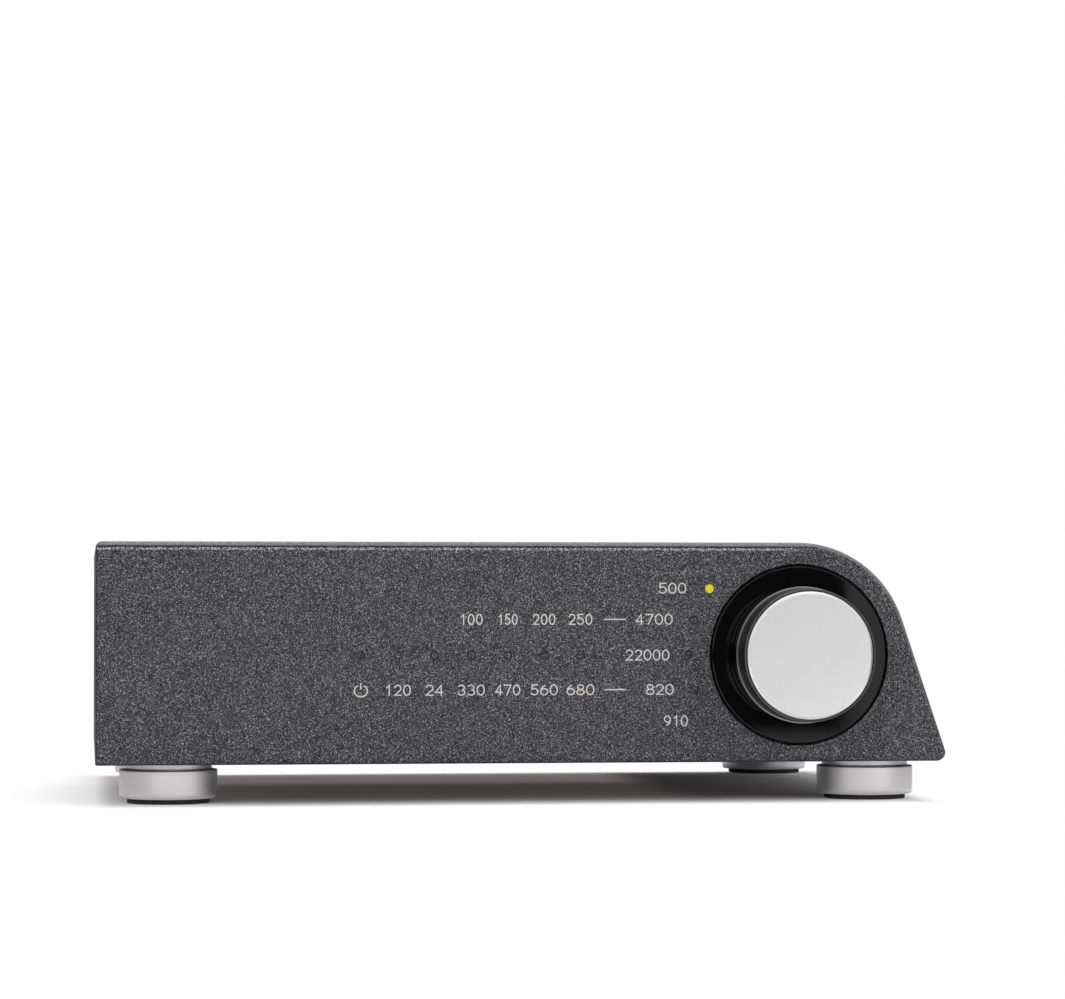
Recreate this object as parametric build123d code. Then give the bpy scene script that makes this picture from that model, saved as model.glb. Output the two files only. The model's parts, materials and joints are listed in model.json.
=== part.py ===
from build123d import *
from math import cos, radians, sin, tan
import os

# A phono preamp: a wrapped cover over a base plate, a thick front panel with one
# push-and-turn knob, and the sockets on a rear panel. Millimetres, +Z up, front towards -Y.
# The origin lies on the standing surface, under the middle of the whole object.

# Housing. Seen from the front, the flat top rolls over one shoulder into a sloping side.
slope_foot = 281.2  # left side to where the slope would meet the underside
chassis_height = 72.3
chassis_depth = 220.0  # front of the panel to the cover's rear edge
shoulder_radius = 37.0  # also the knob's distance below the top
slope_angle = 18.5  # degrees from upright
crown_radius = 2.1  # top left corner
heel_radius = 0.6  # bottom left corner
toe_radius = 2.8  # bottom right corner
cover_wall = 1.8
cover_flange = 8.5  # return flange under each side
base_thickness = 3.4
rear_recess = 2.0  # the rear panel lies this far inside the cover's rear edge
rear_thickness = 2.0
bracket_foot = 12.0  # angle brackets that tie front and rear panel to the base plate
bracket_height = 14.0
bracket_width = 12.0
bracket_sheet = 1.5
bracket_hole = 10.0  # base plate to the panel's screw
bracket_first = 60.0  # left side to the first bracket
bracket_pitch = 65.0
bracket_count = 3
rear_bracket_first = 22.0
rear_bracket_pitch = 76.0
rear_bracket_count = 4
bend_inside = 0.15  # smallest radius inside the cover's corners
seam = 0.2  # gap where two housing pieces meet

# Front panel and its ring.
panel_thickness = 6.0
panel_rim = 4.0  # what stands in front of the cover; the rest fits into its mouth
panel_edge = 2.0  # rounding all round the panel's front
ring_recess = 60.0  # diameter of the round recess
ring_gap = 0.55
ring_thickness = 3.2
ring_bore = 37.0
ring_bevel = 0.35

# Knob, measured outwards from the panel's face.
knob_lift = 1.1  # running gap under the skirt
knob_reach = 18.0  # face of the cap
knob_diameter = 44.5  # at the skirt; each piece in front of it is a little smaller
skirt_height = 5.45
grip_step = 0.2  # skirt to the grip's base
grip_draft = 0.4  # grip's base to its nose
grip_lip = 0.75  # grip's nose to the cap
grip_wall = 2.9
nose_step = 0.7  # the cap stands this far above the grip's nose
nose_chamfer = 0.35
cap_thickness = 2.1
cap_bevel = 0.9
cap_bevel_drop = 0.3
core_floor = 2.9  # web of the grip behind the cap
boss_wall = 2.9
hub_diameter = 12.0
hub_end = 1.6  # the hub starts this far in front of the panel's face
push_travel = 0.5

# Encoder.
shaft_diameter = 6.0
shaft_flat = 1.5  # depth of the flat that turns the hub
shaft_tip = 12.5
journal_diameter = 3.0
bush_diameter = 9.0
encoder_side = 22.0
encoder_corner = 1.5
encoder_wall = 2.0
encoder_bore = 18.0
wheel_diameter = 14.0
wheel_thickness = 0.6
wheel_slots = 24
slot_width = 0.7
slot_length = 1.6
wheel_drop = 4.2  # encoder's front to the wheel
plunger_drop = 8.0  # encoder's front to the plunger
plunger_thickness = 1.5
switch_diameter = 6.0
nut_flats = 14.0
nut_height = 2.0
washer_thickness = 0.5
bush_stick_out = 0.6

# Indicators: five on an arc round the knob, seven in a row at the knob's height.
arc_count = 5
arc_step = 18.0  # degrees
arc_radius = 37.0
row_count = 7
row_pitch = 12.0
row_start = 85.5  # left side to the first one
pipe_diameter = 2.9
pipe_collar = 4.2
collar_height = 1.0
lens_diameter = 2.0  # raised middle of the pipe's front
lens_step = 0.4
lamp_size = 2.2
lamp_height = 0.9

# Feet.
foot_left = 24.0  # left side to the foot's centre
foot_right = 23.1  # foot's centre to the foot of the slope
foot_front = 25.0
foot_rear = 26.0
neck_diameter = 28.7
neck_height = 2.0
foot_groove = 0.26
foot_diameter = 32.2
foot_body = 9.1
foot_edge = 0.9
pad_diameter = 28.2
pad_height = 1.95
pad_seat = 1.0  # the pad's depth inside the body
foot_screw = 5.0
foot_well = 5.55  # standing surface to the seat of the screw's head

# Boards and what they carry.
board_thickness = 1.6
spacer_length = 12.0  # panel's back to the control board
spacer_thread = 2.2  # its screws' bite into the panel
control_share = 0.652  # how far up from the base plate to the lowest lamp the control board starts
control_side = 5.0  # encoder to the control board's right edge
control_inset = 4.0  # control board's edge to its screws
post_height = 8.0
post_flats = 6.0
board_gap = 12.0  # free space round the boards
board_inset = 5.0  # board's edge to its screws
film_size = (13.0, 5.0, 11.0)
relay_size = (15.0, 7.5, 10.0)
chip_size = (9.4, 6.4, 3.4)
control_size = (12.0, 12.0, 1.6)
reservoir_diameter = 16.0
reservoir_height = 25.0
bridge_size = (20.0, 5.0, 14.0)
sink_size = (24.0, 12.0, 22.0)
sink_fins = 5
sink_plate = 2.4
fin_thickness = 1.4
ribbon_width = 14.0
ribbon_thickness = 1.0
header_depth = 6.0

# Where the main board's parts stand, from its left side and its rear edge.
part_start = 22.0
relay_line = 24.0
relay_pitch = 24.0
chip_line = 42.0
chip_pitch = 22.0
film_line = 60.0
film_pitch = (22.0, 14.0)
control_spot = (30.0, 22.0)  # the control chip, from the left side and the front edge
reservoir_share = 0.25  # of the supply board's free depth, in front of the cans
sink_share = 0.19  # and behind the heatsinks
ribbon_spot = (40.0, 16.0)  # from the control board's left edge, above the main board

# Transformer and shield.
coil_diameter = 76.0
coil_hole = 22.0
coil_height = 30.0
coil_rounding = 6.0
coil_from_foot = 68.0  # coil's axis to the foot of the slope
coil_behind = 26.0  # the coil's axis behind the chassis's middle
coil_pad = 1.6
cap_sheet = 1.2
cap_dish = 3.0
coil_bolt = 6.0
coil_bolt_head = 11.0
shield_height = 46.0
shield_foot = 10.0
shield_sheet = 1.0

# Rear sockets, post, inlet and switch.
socket_first = 44.0  # left side to the first socket
socket_pitch = 21.0
socket_pairs = 2
pair_gap = 4.0  # extra room between the pairs
socket_height = 32.0  # above the chassis's underside
barrel_diameter = 8.3
barrel_length = 8.0
socket_flange = 11.4
socket_flange_height = 1.5
stem_diameter = 7.8
stem_length = 6.0
socket_nut = (11.0, 2.2)  # across flats, height
insulator_diameter = 6.5
insulator_tail = 0.8
tag_length = 3.2  # solder tag behind each contact
contact_diameter = 4.0
contact_bore = 3.3
post_x = 134.0
stud_diameter = 4.0
stud_length = 15.0
post_nut = (8.0, 2.8)
post_flange = 11.0
post_flange_height = 2.0
thumb_diameter = 11.0
thumb_length = 8.0
thumb_flutes = 18
flute_depth = 0.35
flute_radius = 0.75
thumb_collar = 1.2
washer_plate = 0.8
inlet_from_foot = 62.0
inlet_flange = (50.0, 28.0)
inlet_rounding = 6.0
inlet_plate = 3.0
inlet_body = (28.4, 20.4)
inlet_body_depth = 22.0
inlet_mouth = (24.4, 16.4)
inlet_depth = 16.8
inlet_corner = 4.0
inlet_screws = 40.0
pin_size = (2.0, 4.0)
pin_pitch = 14.0
rocker_from_foot = 106.0
rocker_flange = (16.0, 25.0)
rocker_body = (13.6, 21.0)
rocker_mouth = (10.0, 17.6)
rocker_depth = 14.0
rocker_well = 7.0
rocker_plate = 1.5
pivot_depth = 1.5
rocker_tilt = 9.0  # degrees each way from level
rocker_half = 7.6
rocker_dip = 1.2
rocker_dish = 6.0  # radius of the dip's bottom
rocker_crest = 5.2  # pivot to the rocker's raised ends
rocker_pin = 2.4

# Fits.
slip = 0.05  # radial clearance of a shaft or screw in its hole
screw_diameter = 3.0
screw_head = 5.6
screw_head_height = 1.8
flush_head = 5.6
screw_bite = 5.0

# Datums worked out from the sizes above.
foot_height = neck_height + foot_groove + foot_body + pad_height
slope = radians(slope_angle)
toe_centre = slope_foot - toe_radius * tan(slope) - toe_radius / cos(slope)
overall_width = toe_centre + toe_radius
left = -overall_width / 2
underside = foot_height
top = underside + chassis_height
post_reach = stud_length - rear_recess
front = -(chassis_depth + post_reach - knob_reach) / 2
rear = front + chassis_depth
panel_back = front + panel_thickness
rim_back = front + panel_rim
rear_face = rear - rear_recess
rear_inner = rear_face - rear_thickness
base_top = underside + base_thickness
knob_x = (
    left + slope_foot - chassis_height * tan(slope)
    - shoulder_radius * tan(radians(90 - slope_angle) / 2)
)
knob_z = top - shoulder_radius
grip_base = knob_diameter / 2 - grip_step
grip_nose = grip_base - grip_draft
cap_radius = grip_nose - grip_lip
control_back = panel_back + spacer_length + board_thickness
coil_x = left + slope_foot - coil_from_foot
coil_y = (front + rear) / 2 + coil_behind
shield_x = coil_x - coil_diameter / 2 - board_gap
inlet_x = left + slope_foot - inlet_from_foot
rocker_x = left + slope_foot - rocker_from_foot
socket_z = underside + socket_height
board_top = base_top + post_height + board_thickness


def block(size, x, y, z):
    """A block standing on height z, centred on x and y."""
    return Pos(x, y, z + size[2] / 2) * Box(*size)


def span(x0, x1, y0, y1, z0, z1):
    """A block between two corners."""
    return Pos((x0 + x1) / 2, (y0 + y1) / 2, (z0 + z1) / 2) * Box(x1 - x0, y1 - y0, z1 - z0)


def turned(profile, place):
    """A turned solid: (radius, height) pairs spun about the place's own Z axis."""
    face = make_face(Polyline(*[(r, 0, h) for r, h in profile], close=True))
    return place * revolve(face, Axis.Z)


def rod(diameter, low, high, place):
    """A plain round bar between two heights on the place's Z axis."""
    return place * Pos(0, 0, (low + high) / 2) * Cylinder(diameter / 2, high - low)


def tube(outer, inner, low, high, place):
    return rod(outer, low, high, place) - rod(inner, low - 1, high + 1, place)


def facing_front(x, z, y=None):
    """A place whose Z axis points out of the front, on the panel's face unless y is given."""
    return Location((x, front if y is None else y, z), (90, 0, 0))


def facing_rear(x, z, y=None):
    return Location((x, rear_face if y is None else y, z), (-90, 0, 0))


def through(sketch, y0, y1):
    """A sketch in width and height, carried from depth y0 to y1."""
    return extrude(Plane.XZ.offset(-y1) * sketch, y1 - y0)


def outline(inset, floor, radii):
    """The housing's outline moved inwards, closed at a height above the underside."""
    high = top - inset
    low = underside + floor

    def slope_at(z):
        return left + slope_foot - (z - underside) * tan(slope) - inset / cos(slope)

    corners = [(left + inset, low), (left + inset, high), (slope_at(high), high), (slope_at(low), low)]
    return make_face(FilletPolyline(*corners, radius=radii, close=True))


def corner_radii(inset, heel, crown, toe):
    return [heel, crown, shoulder_radius - inset, toe]


def screw(place, bite=screw_bite, diameter=screw_diameter, head=screw_head):
    """A pan-head screw: its head stands on the place, its shank goes down into it."""
    shank, rim = diameter / 2, head / 2
    drive = diameter * 0.28
    profile = [
        (0, -bite), (shank * 0.8, -bite), (shank, -bite + shank * 0.4), (shank, 0), (rim, 0),
        (rim, screw_head_height * 0.55), (rim * 0.72, screw_head_height), (drive, screw_head_height),
        (drive, screw_head_height * 0.35), (0, screw_head_height * 0.35),
    ]
    return turned(profile, place)


def up(x, y, z):
    return Location((x, y, z))


def down(x, y, z):
    return Location((x, y, z), (180, 0, 0))


# Places that several pieces share.
foot_spots = [
    (x, y)
    for x in (left + foot_left, left + slope_foot - foot_right)
    for y in (front + foot_front, rear - foot_rear)
]
flange_edge_left = left + cover_flange
flange_edge_right = left + toe_centre - cover_flange
cover_spots = [
    (x, front + share * chassis_depth)
    for x in (left + (cover_wall + cover_flange) / 2, left + toe_centre - cover_flange / 2)
    for share in (0.3, 0.5, 0.7)
]
bracket_xs = [left + bracket_first + i * bracket_pitch for i in range(bracket_count)]
rear_bracket_xs = [left + rear_bracket_first + i * rear_bracket_pitch for i in range(rear_bracket_count)]
bracket_reach = bracket_foot / 2 + bracket_sheet  # panel to the screw in the base plate
bracket_hole_z = base_top + bracket_hole
bracket_feet = [(x, panel_back + bracket_reach) for x in bracket_xs]
bracket_feet += [(x, rear_inner - bracket_reach) for x in rear_bracket_xs]
arc_spots = [
    (
        knob_x - arc_radius * cos(radians((i - arc_count // 2) * arc_step)),
        knob_z - arc_radius * sin(radians((i - arc_count // 2) * arc_step)),
    )
    for i in range(arc_count)
]
row_spots = [(left + row_start + i * row_pitch, knob_z) for i in range(row_count)]
lit_spot = arc_spots[0]
lowest_lamp = min(z for _, z in arc_spots) - lamp_size / 2
control_low = base_top + control_share * (lowest_lamp - base_top)
control_height = 2 * (knob_z - control_low)
control_left = left + row_start - board_gap / 2
control_right = knob_x + encoder_side / 2 + control_side
spacer_spots = [
    (x, z)
    for x in (control_left + control_inset, control_right - control_inset)
    for z in (control_low + control_inset, control_low + control_height - control_inset)
]
main_box = (
    left + cover_wall + board_gap, shield_x - board_gap / 2,
    control_back + 2 * board_gap, rear_inner - 2 * board_gap,
)
supply_box = (
    shield_x + board_gap, left + slope_foot - chassis_height * 0.45,
    control_back + board_gap, coil_y - coil_diameter / 2 - board_gap / 2,
)


def board_corners(box):
    return [
        (x, y)
        for x in (box[0] + board_inset, box[1] - board_inset)
        for y in (box[2] + board_inset, box[3] - board_inset)
    ]


post_spots = board_corners(main_box) + board_corners(supply_box)
screw_room = board_inset + screw_head / 2  # board's edge to the far side of its screws' heads
supply_free = supply_box[3] - supply_box[2] - 2 * screw_room - reservoir_diameter - sink_size[1]
shield_screw_ys = [main_box[2] + 12.0, rear_inner - 3 * board_gap]
socket_xs = [
    left + socket_first + (pair * 2 + side) * socket_pitch + pair * pair_gap
    for pair in range(socket_pairs) for side in range(2)
]


def wrap_cover():
    shell = outline(0, 0, corner_radii(0, heel_radius, crown_radius, toe_radius))
    hollow = outline(
        cover_wall, cover_wall,
        corner_radii(
            cover_wall, bend_inside, max(crown_radius - cover_wall, bend_inside),
            max(toe_radius - cover_wall, bend_inside),
        ),
    )
    cover = through(shell - hollow, rim_back + seam, rear)
    cover -= span(
        flange_edge_left, flange_edge_right, front - 1, rear + 1, underside - 1, underside + cover_wall + 0.5
    )
    for x, y in cover_spots:
        cover -= countersink(down(x, y, underside))
    return cover


def base_plate():
    plate = span(
        flange_edge_left + seam, flange_edge_right - seam, rim_back + seam, rear - rear_recess,
        underside, underside + cover_wall,
    )
    plate += span(
        left + cover_wall + seam, left + toe_centre - seam, panel_back, rear - rear_recess,
        underside + cover_wall, base_top,
    )
    holes = [(x, y, foot_screw) for x, y in foot_spots]
    holes += [(x, y, screw_diameter) for x, y in cover_spots]
    holes += [(x, y, screw_diameter) for x, y in bracket_feet]
    holes += [(shield_x + shield_foot / 2, y, screw_diameter) for y in shield_screw_ys]
    holes += [(coil_x, coil_y, coil_bolt)]
    for x, y, diameter in holes:
        plate -= rod(diameter + 2 * slip, -1, base_thickness + 1, up(x, y, underside))
    return plate


def front_panel():
    panel = through(
        outline(0, 0, corner_radii(0, heel_radius, crown_radius, toe_radius)), front, rim_back
    )
    panel = fillet(panel.faces().sort_by(Axis.Y)[0].edges(), panel_edge)
    inset = cover_wall + seam
    step = outline(inset, inset, corner_radii(inset, bend_inside, bend_inside, toe_radius - inset))
    panel += through(step, rim_back, panel_back)
    centre = facing_front(knob_x, knob_z)
    panel -= rod(ring_recess, -ring_thickness, 1, centre)
    panel -= rod(bush_diameter + 4 * slip, -panel_thickness - 1, 1, centre)
    for x, z in arc_spots + row_spots:
        panel -= rod(pipe_diameter + 2 * slip, -panel_thickness - 1, 1, facing_front(x, z))
    for x, z in spacer_spots:
        depth = -panel_thickness + spacer_thread + 0.2
        panel -= rod(screw_diameter + 2 * slip, -panel_thickness - 1, depth, facing_front(x, z))
    for x in bracket_xs:
        hole = facing_front(x, bracket_hole_z, panel_back)
        panel -= rod(screw_diameter + 2 * slip, -1, screw_bite - bracket_sheet + 0.4, hole)
    return panel


def rear_panel():
    inset = cover_wall + seam
    panel = through(
        outline(inset, base_thickness, corner_radii(inset, 0.3, 0.3, 0.3)), rear_inner, rear_face
    )
    for x in socket_xs:
        panel -= rod(stem_diameter + 4 * slip, -rear_thickness - 1, 1, facing_rear(x, socket_z))
    panel -= rod(stud_diameter + 4 * slip, -rear_thickness - 1, 1, facing_rear(left + post_x, socket_z))
    panel -= window(inlet_body, inlet_x)
    panel -= window(rocker_body, rocker_x)
    holes = [(inlet_x - inlet_screws / 2, socket_z), (inlet_x + inlet_screws / 2, socket_z)]
    holes += [(x, bracket_hole_z) for x in rear_bracket_xs]
    for x, z in holes:
        panel -= rod(screw_diameter + 2 * slip, -rear_thickness - 1, 1, facing_rear(x, z))
    return panel


def window(size, x):
    """A rectangular cut-out through the rear panel, a little larger than what passes through it."""
    half_x, half_z = size[0] / 2 + slip, size[1] / 2 + slip
    return span(x - half_x, x + half_x, rear_inner - 1, rear_face + 1, socket_z - half_z, socket_z + half_z)


def knob_bezel():
    outer, inner = ring_recess / 2 - ring_gap, ring_bore / 2
    profile = [
        (inner, -ring_thickness), (outer, -ring_thickness), (outer, -ring_bevel),
        (outer - ring_bevel, 0), (inner, 0),
    ]
    return turned(profile, facing_front(knob_x, knob_z))


# Knob: (radius, distance outwards from the panel's face).
grip_low = knob_lift + skirt_height
grip_high = knob_reach - nose_step
cap_low = knob_reach - cap_thickness
pocket_floor = cap_low - core_floor
pocket_radius = grip_base - grip_wall
boss_radius = hub_diameter / 2 + boss_wall


def knob_place():
    return facing_front(knob_x, knob_z)


def knob_skirt():
    outer, spigot = knob_diameter / 2, pocket_radius - slip
    inner = spigot - 1.5
    edge = 0.15
    profile = [
        (inner, knob_lift), (outer - edge, knob_lift), (outer, knob_lift + edge),
        (outer - 0.1, grip_low - edge), (outer - 2 * edge, grip_low), (spigot, grip_low),
        (spigot, grip_low + 3.0), (inner, grip_low + 3.0),
    ]
    return turned(profile, knob_place())


def knob_grip():
    seat = cap_radius + slip
    edge = 0.25
    bore = hub_diameter / 2 + slip
    profile = [
        (bore, hub_end), (boss_radius, hub_end), (boss_radius, pocket_floor), (pocket_radius, pocket_floor),
        (pocket_radius, grip_low), (grip_base - edge, grip_low), (grip_base, grip_low + edge),
        (grip_nose, grip_high - nose_chamfer), (grip_nose - nose_chamfer, grip_high), (seat, grip_high),
        (seat, cap_low), (0, cap_low), (0, pocket_floor + 0.8), (bore, pocket_floor + 0.8),
    ]
    return turned(profile, knob_place())


def knob_cap():
    profile = [
        (0, cap_low), (cap_radius, cap_low), (cap_radius, knob_reach - cap_bevel_drop),
        (cap_radius - cap_bevel, knob_reach), (0, knob_reach),
    ]
    return turned(profile, knob_place())


def flat_shaft(diameter, low, high):
    """A round bar with one flat, and so the hole that it drives."""
    radius = diameter / 2
    keep = span(-radius, radius, -radius, radius - shaft_flat, low, high)
    return Pos(0, 0, (low + high) / 2) * Cylinder(radius, high - low) & keep


def knob_hub():
    tail = pocket_floor + 0.8
    hub = Pos(0, 0, (hub_end + tail) / 2) * Cylinder(hub_diameter / 2, tail - hub_end)
    hub -= flat_shaft(shaft_diameter + 2 * slip, hub_end - 1, shaft_tip + slip)
    return knob_place() * hub


def encoder_place():
    """On the encoder's front, against the panel's back."""
    return facing_front(knob_x, knob_z, panel_back)


def encoder_housing():
    web = panel_thickness - ring_thickness
    bush_end = web + washer_thickness + nut_height + bush_stick_out
    case = Pos(0, 0, -spacer_length) * extrude(
        RectangleRounded(encoder_side, encoder_side, encoder_corner), spacer_length
    )
    case += Pos(0, 0, bush_end / 2) * Cylinder(bush_diameter / 2, bush_end)
    case -= Pos(0, 0, -(spacer_length + encoder_wall) / 2) * Cylinder(
        encoder_bore / 2, spacer_length - encoder_wall
    )
    case -= Cylinder(shaft_diameter / 2 + slip, 4 * spacer_length)
    return encoder_place() * case


def encoder_washer():
    level = panel_thickness - ring_thickness
    return tube(nut_flats + 1.0, bush_diameter + 4 * slip, level, level + washer_thickness, encoder_place())


def encoder_nut():
    level = panel_thickness - ring_thickness + washer_thickness
    nut = hex_nut(nut_flats, nut_height, bush_diameter + 2 * slip)
    return encoder_place() * Pos(0, 0, level) * nut


def hex_nut(flats, height, bore):
    """A six-sided nut, post or spacer that stands on height 0."""
    blank = extrude(RegularPolygon(flats / 2, 6, major_radius=False), height)
    blank -= Pos(0, 0, height / 2) * Cylinder(bore / 2, 2 * height)
    return blank


def encoder_shaft():
    level = shaft_tip + panel_thickness
    flat_from = hub_end + panel_thickness - 0.5
    shoulder = -plunger_drop + 0.3
    shaft = Pos(0, 0, (flat_from + shoulder) / 2) * Cylinder(shaft_diameter / 2, flat_from - shoulder)
    shaft += flat_shaft(shaft_diameter, flat_from, level)
    tail = -plunger_drop - plunger_thickness + 0.4
    shaft += Pos(0, 0, (shoulder + tail) / 2) * Cylinder(journal_diameter / 2, shoulder - tail)
    return encoder_place() * shaft


def code_wheel():
    middle = (wheel_diameter - slot_length) / 2 - 0.5
    disc = Cylinder(wheel_diameter / 2, wheel_thickness) - Cylinder(shaft_diameter / 2 + slip, 4)
    slots = [
        Rot(0, 0, 360 / wheel_slots * i) * Pos(middle, 0, 0) * Box(slot_length, slot_width, 4)
        for i in range(wheel_slots)
    ]
    return encoder_place() * Pos(0, 0, -wheel_drop) * (disc - slots)


def optical_sensor():
    """A forked sensor fixed to the encoder's bore; the slotted wheel runs in its gap."""
    gap = wheel_thickness / 2 + push_travel + 0.2
    depth = 3.4
    inner, outer = wheel_diameter / 2 - slot_length - 0.6, encoder_bore / 2 - slip
    low = gap + 1.0
    fork = Pos((inner + outer) / 2, 0, 0) * Box(outer - inner, depth, 2 * low)
    fork -= Pos((inner + wheel_diameter / 2 + 0.4) / 2 - 1, 0, 0) * Box(
        wheel_diameter / 2 + 0.4 - inner + 2, depth + 1, 2 * gap
    )
    fork &= Cylinder(outer, 4 * low)
    return encoder_place() * Rot(0, 0, 90) * Pos(0, 0, -wheel_drop) * fork


def encoder_plunger():
    disc = Cylinder(encoder_bore / 2 - slip, plunger_thickness)
    disc -= Pos(0, 0, 0.4) * Cylinder(journal_diameter / 2 + slip, plunger_thickness)
    return encoder_place() * Pos(0, 0, -plunger_drop - plunger_thickness / 2) * disc


def push_switch():
    high = spacer_length - plunger_drop - plunger_thickness - push_travel - 0.1
    foot, tip = switch_diameter / 2, switch_diameter / 4
    profile = [
        (0, 0), (foot, 0), (foot, high * 0.45), (foot * 0.63, high * 0.6), (tip, high * 0.92),
        (tip * 0.6, high), (0, high),
    ]
    return turned(profile, facing_front(knob_x, knob_z, panel_back + spacer_length))


def light_pipe(x, z):
    radius, collar, lens = pipe_diameter / 2, pipe_collar / 2, lens_diameter / 2
    tail = -(panel_thickness + spacer_length - lamp_height - 0.2)
    back = -panel_thickness
    edge = 0.12
    profile = [
        (0, tail), (radius * 0.9, tail), (radius, back - collar_height), (collar, back - collar_height),
        (collar, back), (radius, back), (radius, -lens_step), (lens, -lens_step), (lens, -edge),
        (lens - edge, 0), (0, 0),
    ]
    return turned(profile, facing_front(x, z))


def light_pipes():
    return [light_pipe(x, z) for x, z in arc_spots[1:] + row_spots]


def lit_light_pipe():
    return light_pipe(*lit_spot)


def indicator_lamps():
    face = panel_back + spacer_length
    half = lamp_size / 2
    return [
        span(x - half, x + half, face - lamp_height, face, z - half, z + half)
        for x, z in arc_spots + row_spots
    ]


def control_board():
    face = panel_back + spacer_length
    board = span(control_left, control_right, face, control_back, control_low, control_low + control_height)
    for x, z in spacer_spots:
        board -= rod(screw_diameter + 2 * slip, -1, board_thickness + 1, facing_rear(x, z, face))
    return board


def control_board_spacers():
    blanks = []
    for x, z in spacer_spots:
        blank = hex_nut(post_flats, spacer_length, screw_diameter + 2 * slip)
        blanks.append(facing_rear(x, z, panel_back) * blank)
    return blanks


def board_screws():
    upright = [screw(up(x, y, board_top)) for x, y in post_spots]
    bite = spacer_length + board_thickness + spacer_thread
    level = [screw(facing_rear(x, z, control_back), bite=bite) for x, z in spacer_spots]
    return upright + level


def panel_brackets():
    """Angle brackets that hold both panels to the base plate."""
    leg = [
        (0, 0), (bracket_foot, 0), (bracket_foot, bracket_sheet), (bracket_sheet, bracket_sheet),
        (bracket_sheet, bracket_height), (0, bracket_height),
    ]
    radii = [bracket_sheet, 0, 0, bracket_sheet / 3, 0, 0]
    profile = make_face(FilletPolyline(*leg, radius=radii, close=True))
    bore = screw_diameter + 2 * slip
    angle = Pos(-bracket_width / 2, 0, 0) * extrude(Plane.YZ * profile, bracket_width)
    angle -= rod(bore, -bracket_sheet - 1, 1, Location((0, 0, bracket_hole), (90, 0, 0)))
    angle -= rod(bore, -1, bracket_sheet + 1, up(0, bracket_reach, 0))
    brackets = [Pos(x, panel_back, base_top) * angle for x in bracket_xs]
    return brackets + [Pos(x, rear_inner, base_top) * Rot(0, 0, 180) * angle for x in rear_bracket_xs]


def chassis_screws():
    """Pan-head screws that hold brackets, rear panel, shield and inlet."""
    into_base = base_thickness - 0.4
    into_bracket = rear_thickness + bracket_sheet + 0.5
    group = [screw(facing_rear(x, bracket_hole_z, panel_back + bracket_sheet)) for x in bracket_xs]
    group += [screw(facing_rear(x, bracket_hole_z), bite=into_bracket) for x in rear_bracket_xs]
    for x, y in bracket_feet:
        group.append(screw(up(x, y, base_top + bracket_sheet), bite=into_base + bracket_sheet))
    for y in shield_screw_ys:
        place = up(shield_x + shield_foot / 2, y, base_top + shield_sheet)
        group.append(screw(place, bite=into_base + shield_sheet))
    for x in (inlet_x - inlet_screws / 2, inlet_x + inlet_screws / 2):
        place = facing_rear(x, socket_z, rear_face + inlet_plate)
        group.append(screw(place, bite=inlet_plate + rear_thickness + 1))
    return group


def countersink(place):
    """The hole and conical seat of a flush screw; the place's Z axis points out of the surface."""
    shank, rim = screw_diameter / 2 + slip, flush_head / 2 + slip
    depth = (flush_head - screw_diameter) / 2
    return turned([(0, -2 * depth), (shank, -2 * depth), (shank, -depth), (rim, 0), (rim, 1), (0, 1)], place)


def cover_screws():
    """Countersunk screws, flush in the cover's flanges, that reach into the base plate's lips."""
    shank, rim = screw_diameter / 2, flush_head / 2
    depth = rim - shank
    bite = base_thickness - 0.3
    profile = [
        (0, -bite), (shank, -bite), (shank, -depth), (rim - slip, -slip), (shank * 0.6, -slip),
        (shank * 0.6, -depth * 0.7), (0, -depth * 0.7),
    ]
    return [turned(profile, down(x, y, underside)) for x, y in cover_spots]


def foot_parts(profile):
    return [turned(profile, up(x, y, 0)) for x, y in foot_spots]


def foot_necks():
    low, radius, edge = underside - neck_height, neck_diameter / 2, 0.3
    bore = foot_screw / 2 + slip
    profile = [
        (bore, low), (radius - edge, low), (radius, low + edge), (radius, underside), (bore, underside),
    ]
    return foot_parts(profile)


def foot_bodies():
    """Turned bodies: a well for the screw's head, a seat for the pad, a groove under the neck."""
    low, high = pad_height, pad_height + foot_body
    radius, seat, bore = foot_diameter / 2, pad_diameter / 2 + slip, foot_screw / 2 + slip
    waist, step, edge = neck_diameter / 2 - 1.2, high + foot_groove, 0.4
    profile = [
        (bore, foot_well), (foot_screw, foot_well), (foot_screw, low + pad_seat), (seat, low + pad_seat),
        (seat, low), (radius - foot_edge, low), (radius - foot_edge * 0.3, low + foot_edge * 0.3),
        (radius, low + foot_edge), (radius, high - edge), (radius - edge, high), (waist, high),
        (waist, step), (bore, step),
    ]
    return foot_parts(profile)


def foot_pads():
    radius, high = pad_diameter / 2, pad_height + pad_seat
    return foot_parts([(0, 0), (radius - 0.5, 0), (radius, 0.5), (radius, high), (0, high)])


def foot_screws():
    bite = underside + base_thickness - foot_well - 0.3
    head = 2 * foot_screw - 0.6
    return [screw(down(x, y, foot_well), bite=bite, diameter=foot_screw, head=head) for x, y in foot_spots]


def board_plate(box):
    level = base_top + post_height
    board = span(*box, level, level + board_thickness)
    for x, y in board_corners(box):
        board -= rod(screw_diameter + 2 * slip, -1, board_thickness + 1, up(x, y, level))
    return board


def main_board():
    return board_plate(main_box)


def supply_board():
    return board_plate(supply_box)


def board_posts():
    posts = []
    for x, y in post_spots:
        posts.append(up(x, y, base_top) * hex_nut(post_flats, post_height, screw_diameter + 2 * slip))
    return posts


def on_main(size, line, pitch, columns=4, rows=1, row_gap=0.0):
    """A pattern of blocks on the main board, counted from its rear left corner."""
    return [
        block(size, main_box[0] + part_start + i * pitch, main_box[3] - line - j * row_gap, board_top)
        for i in range(columns) for j in range(rows)
    ]


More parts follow.
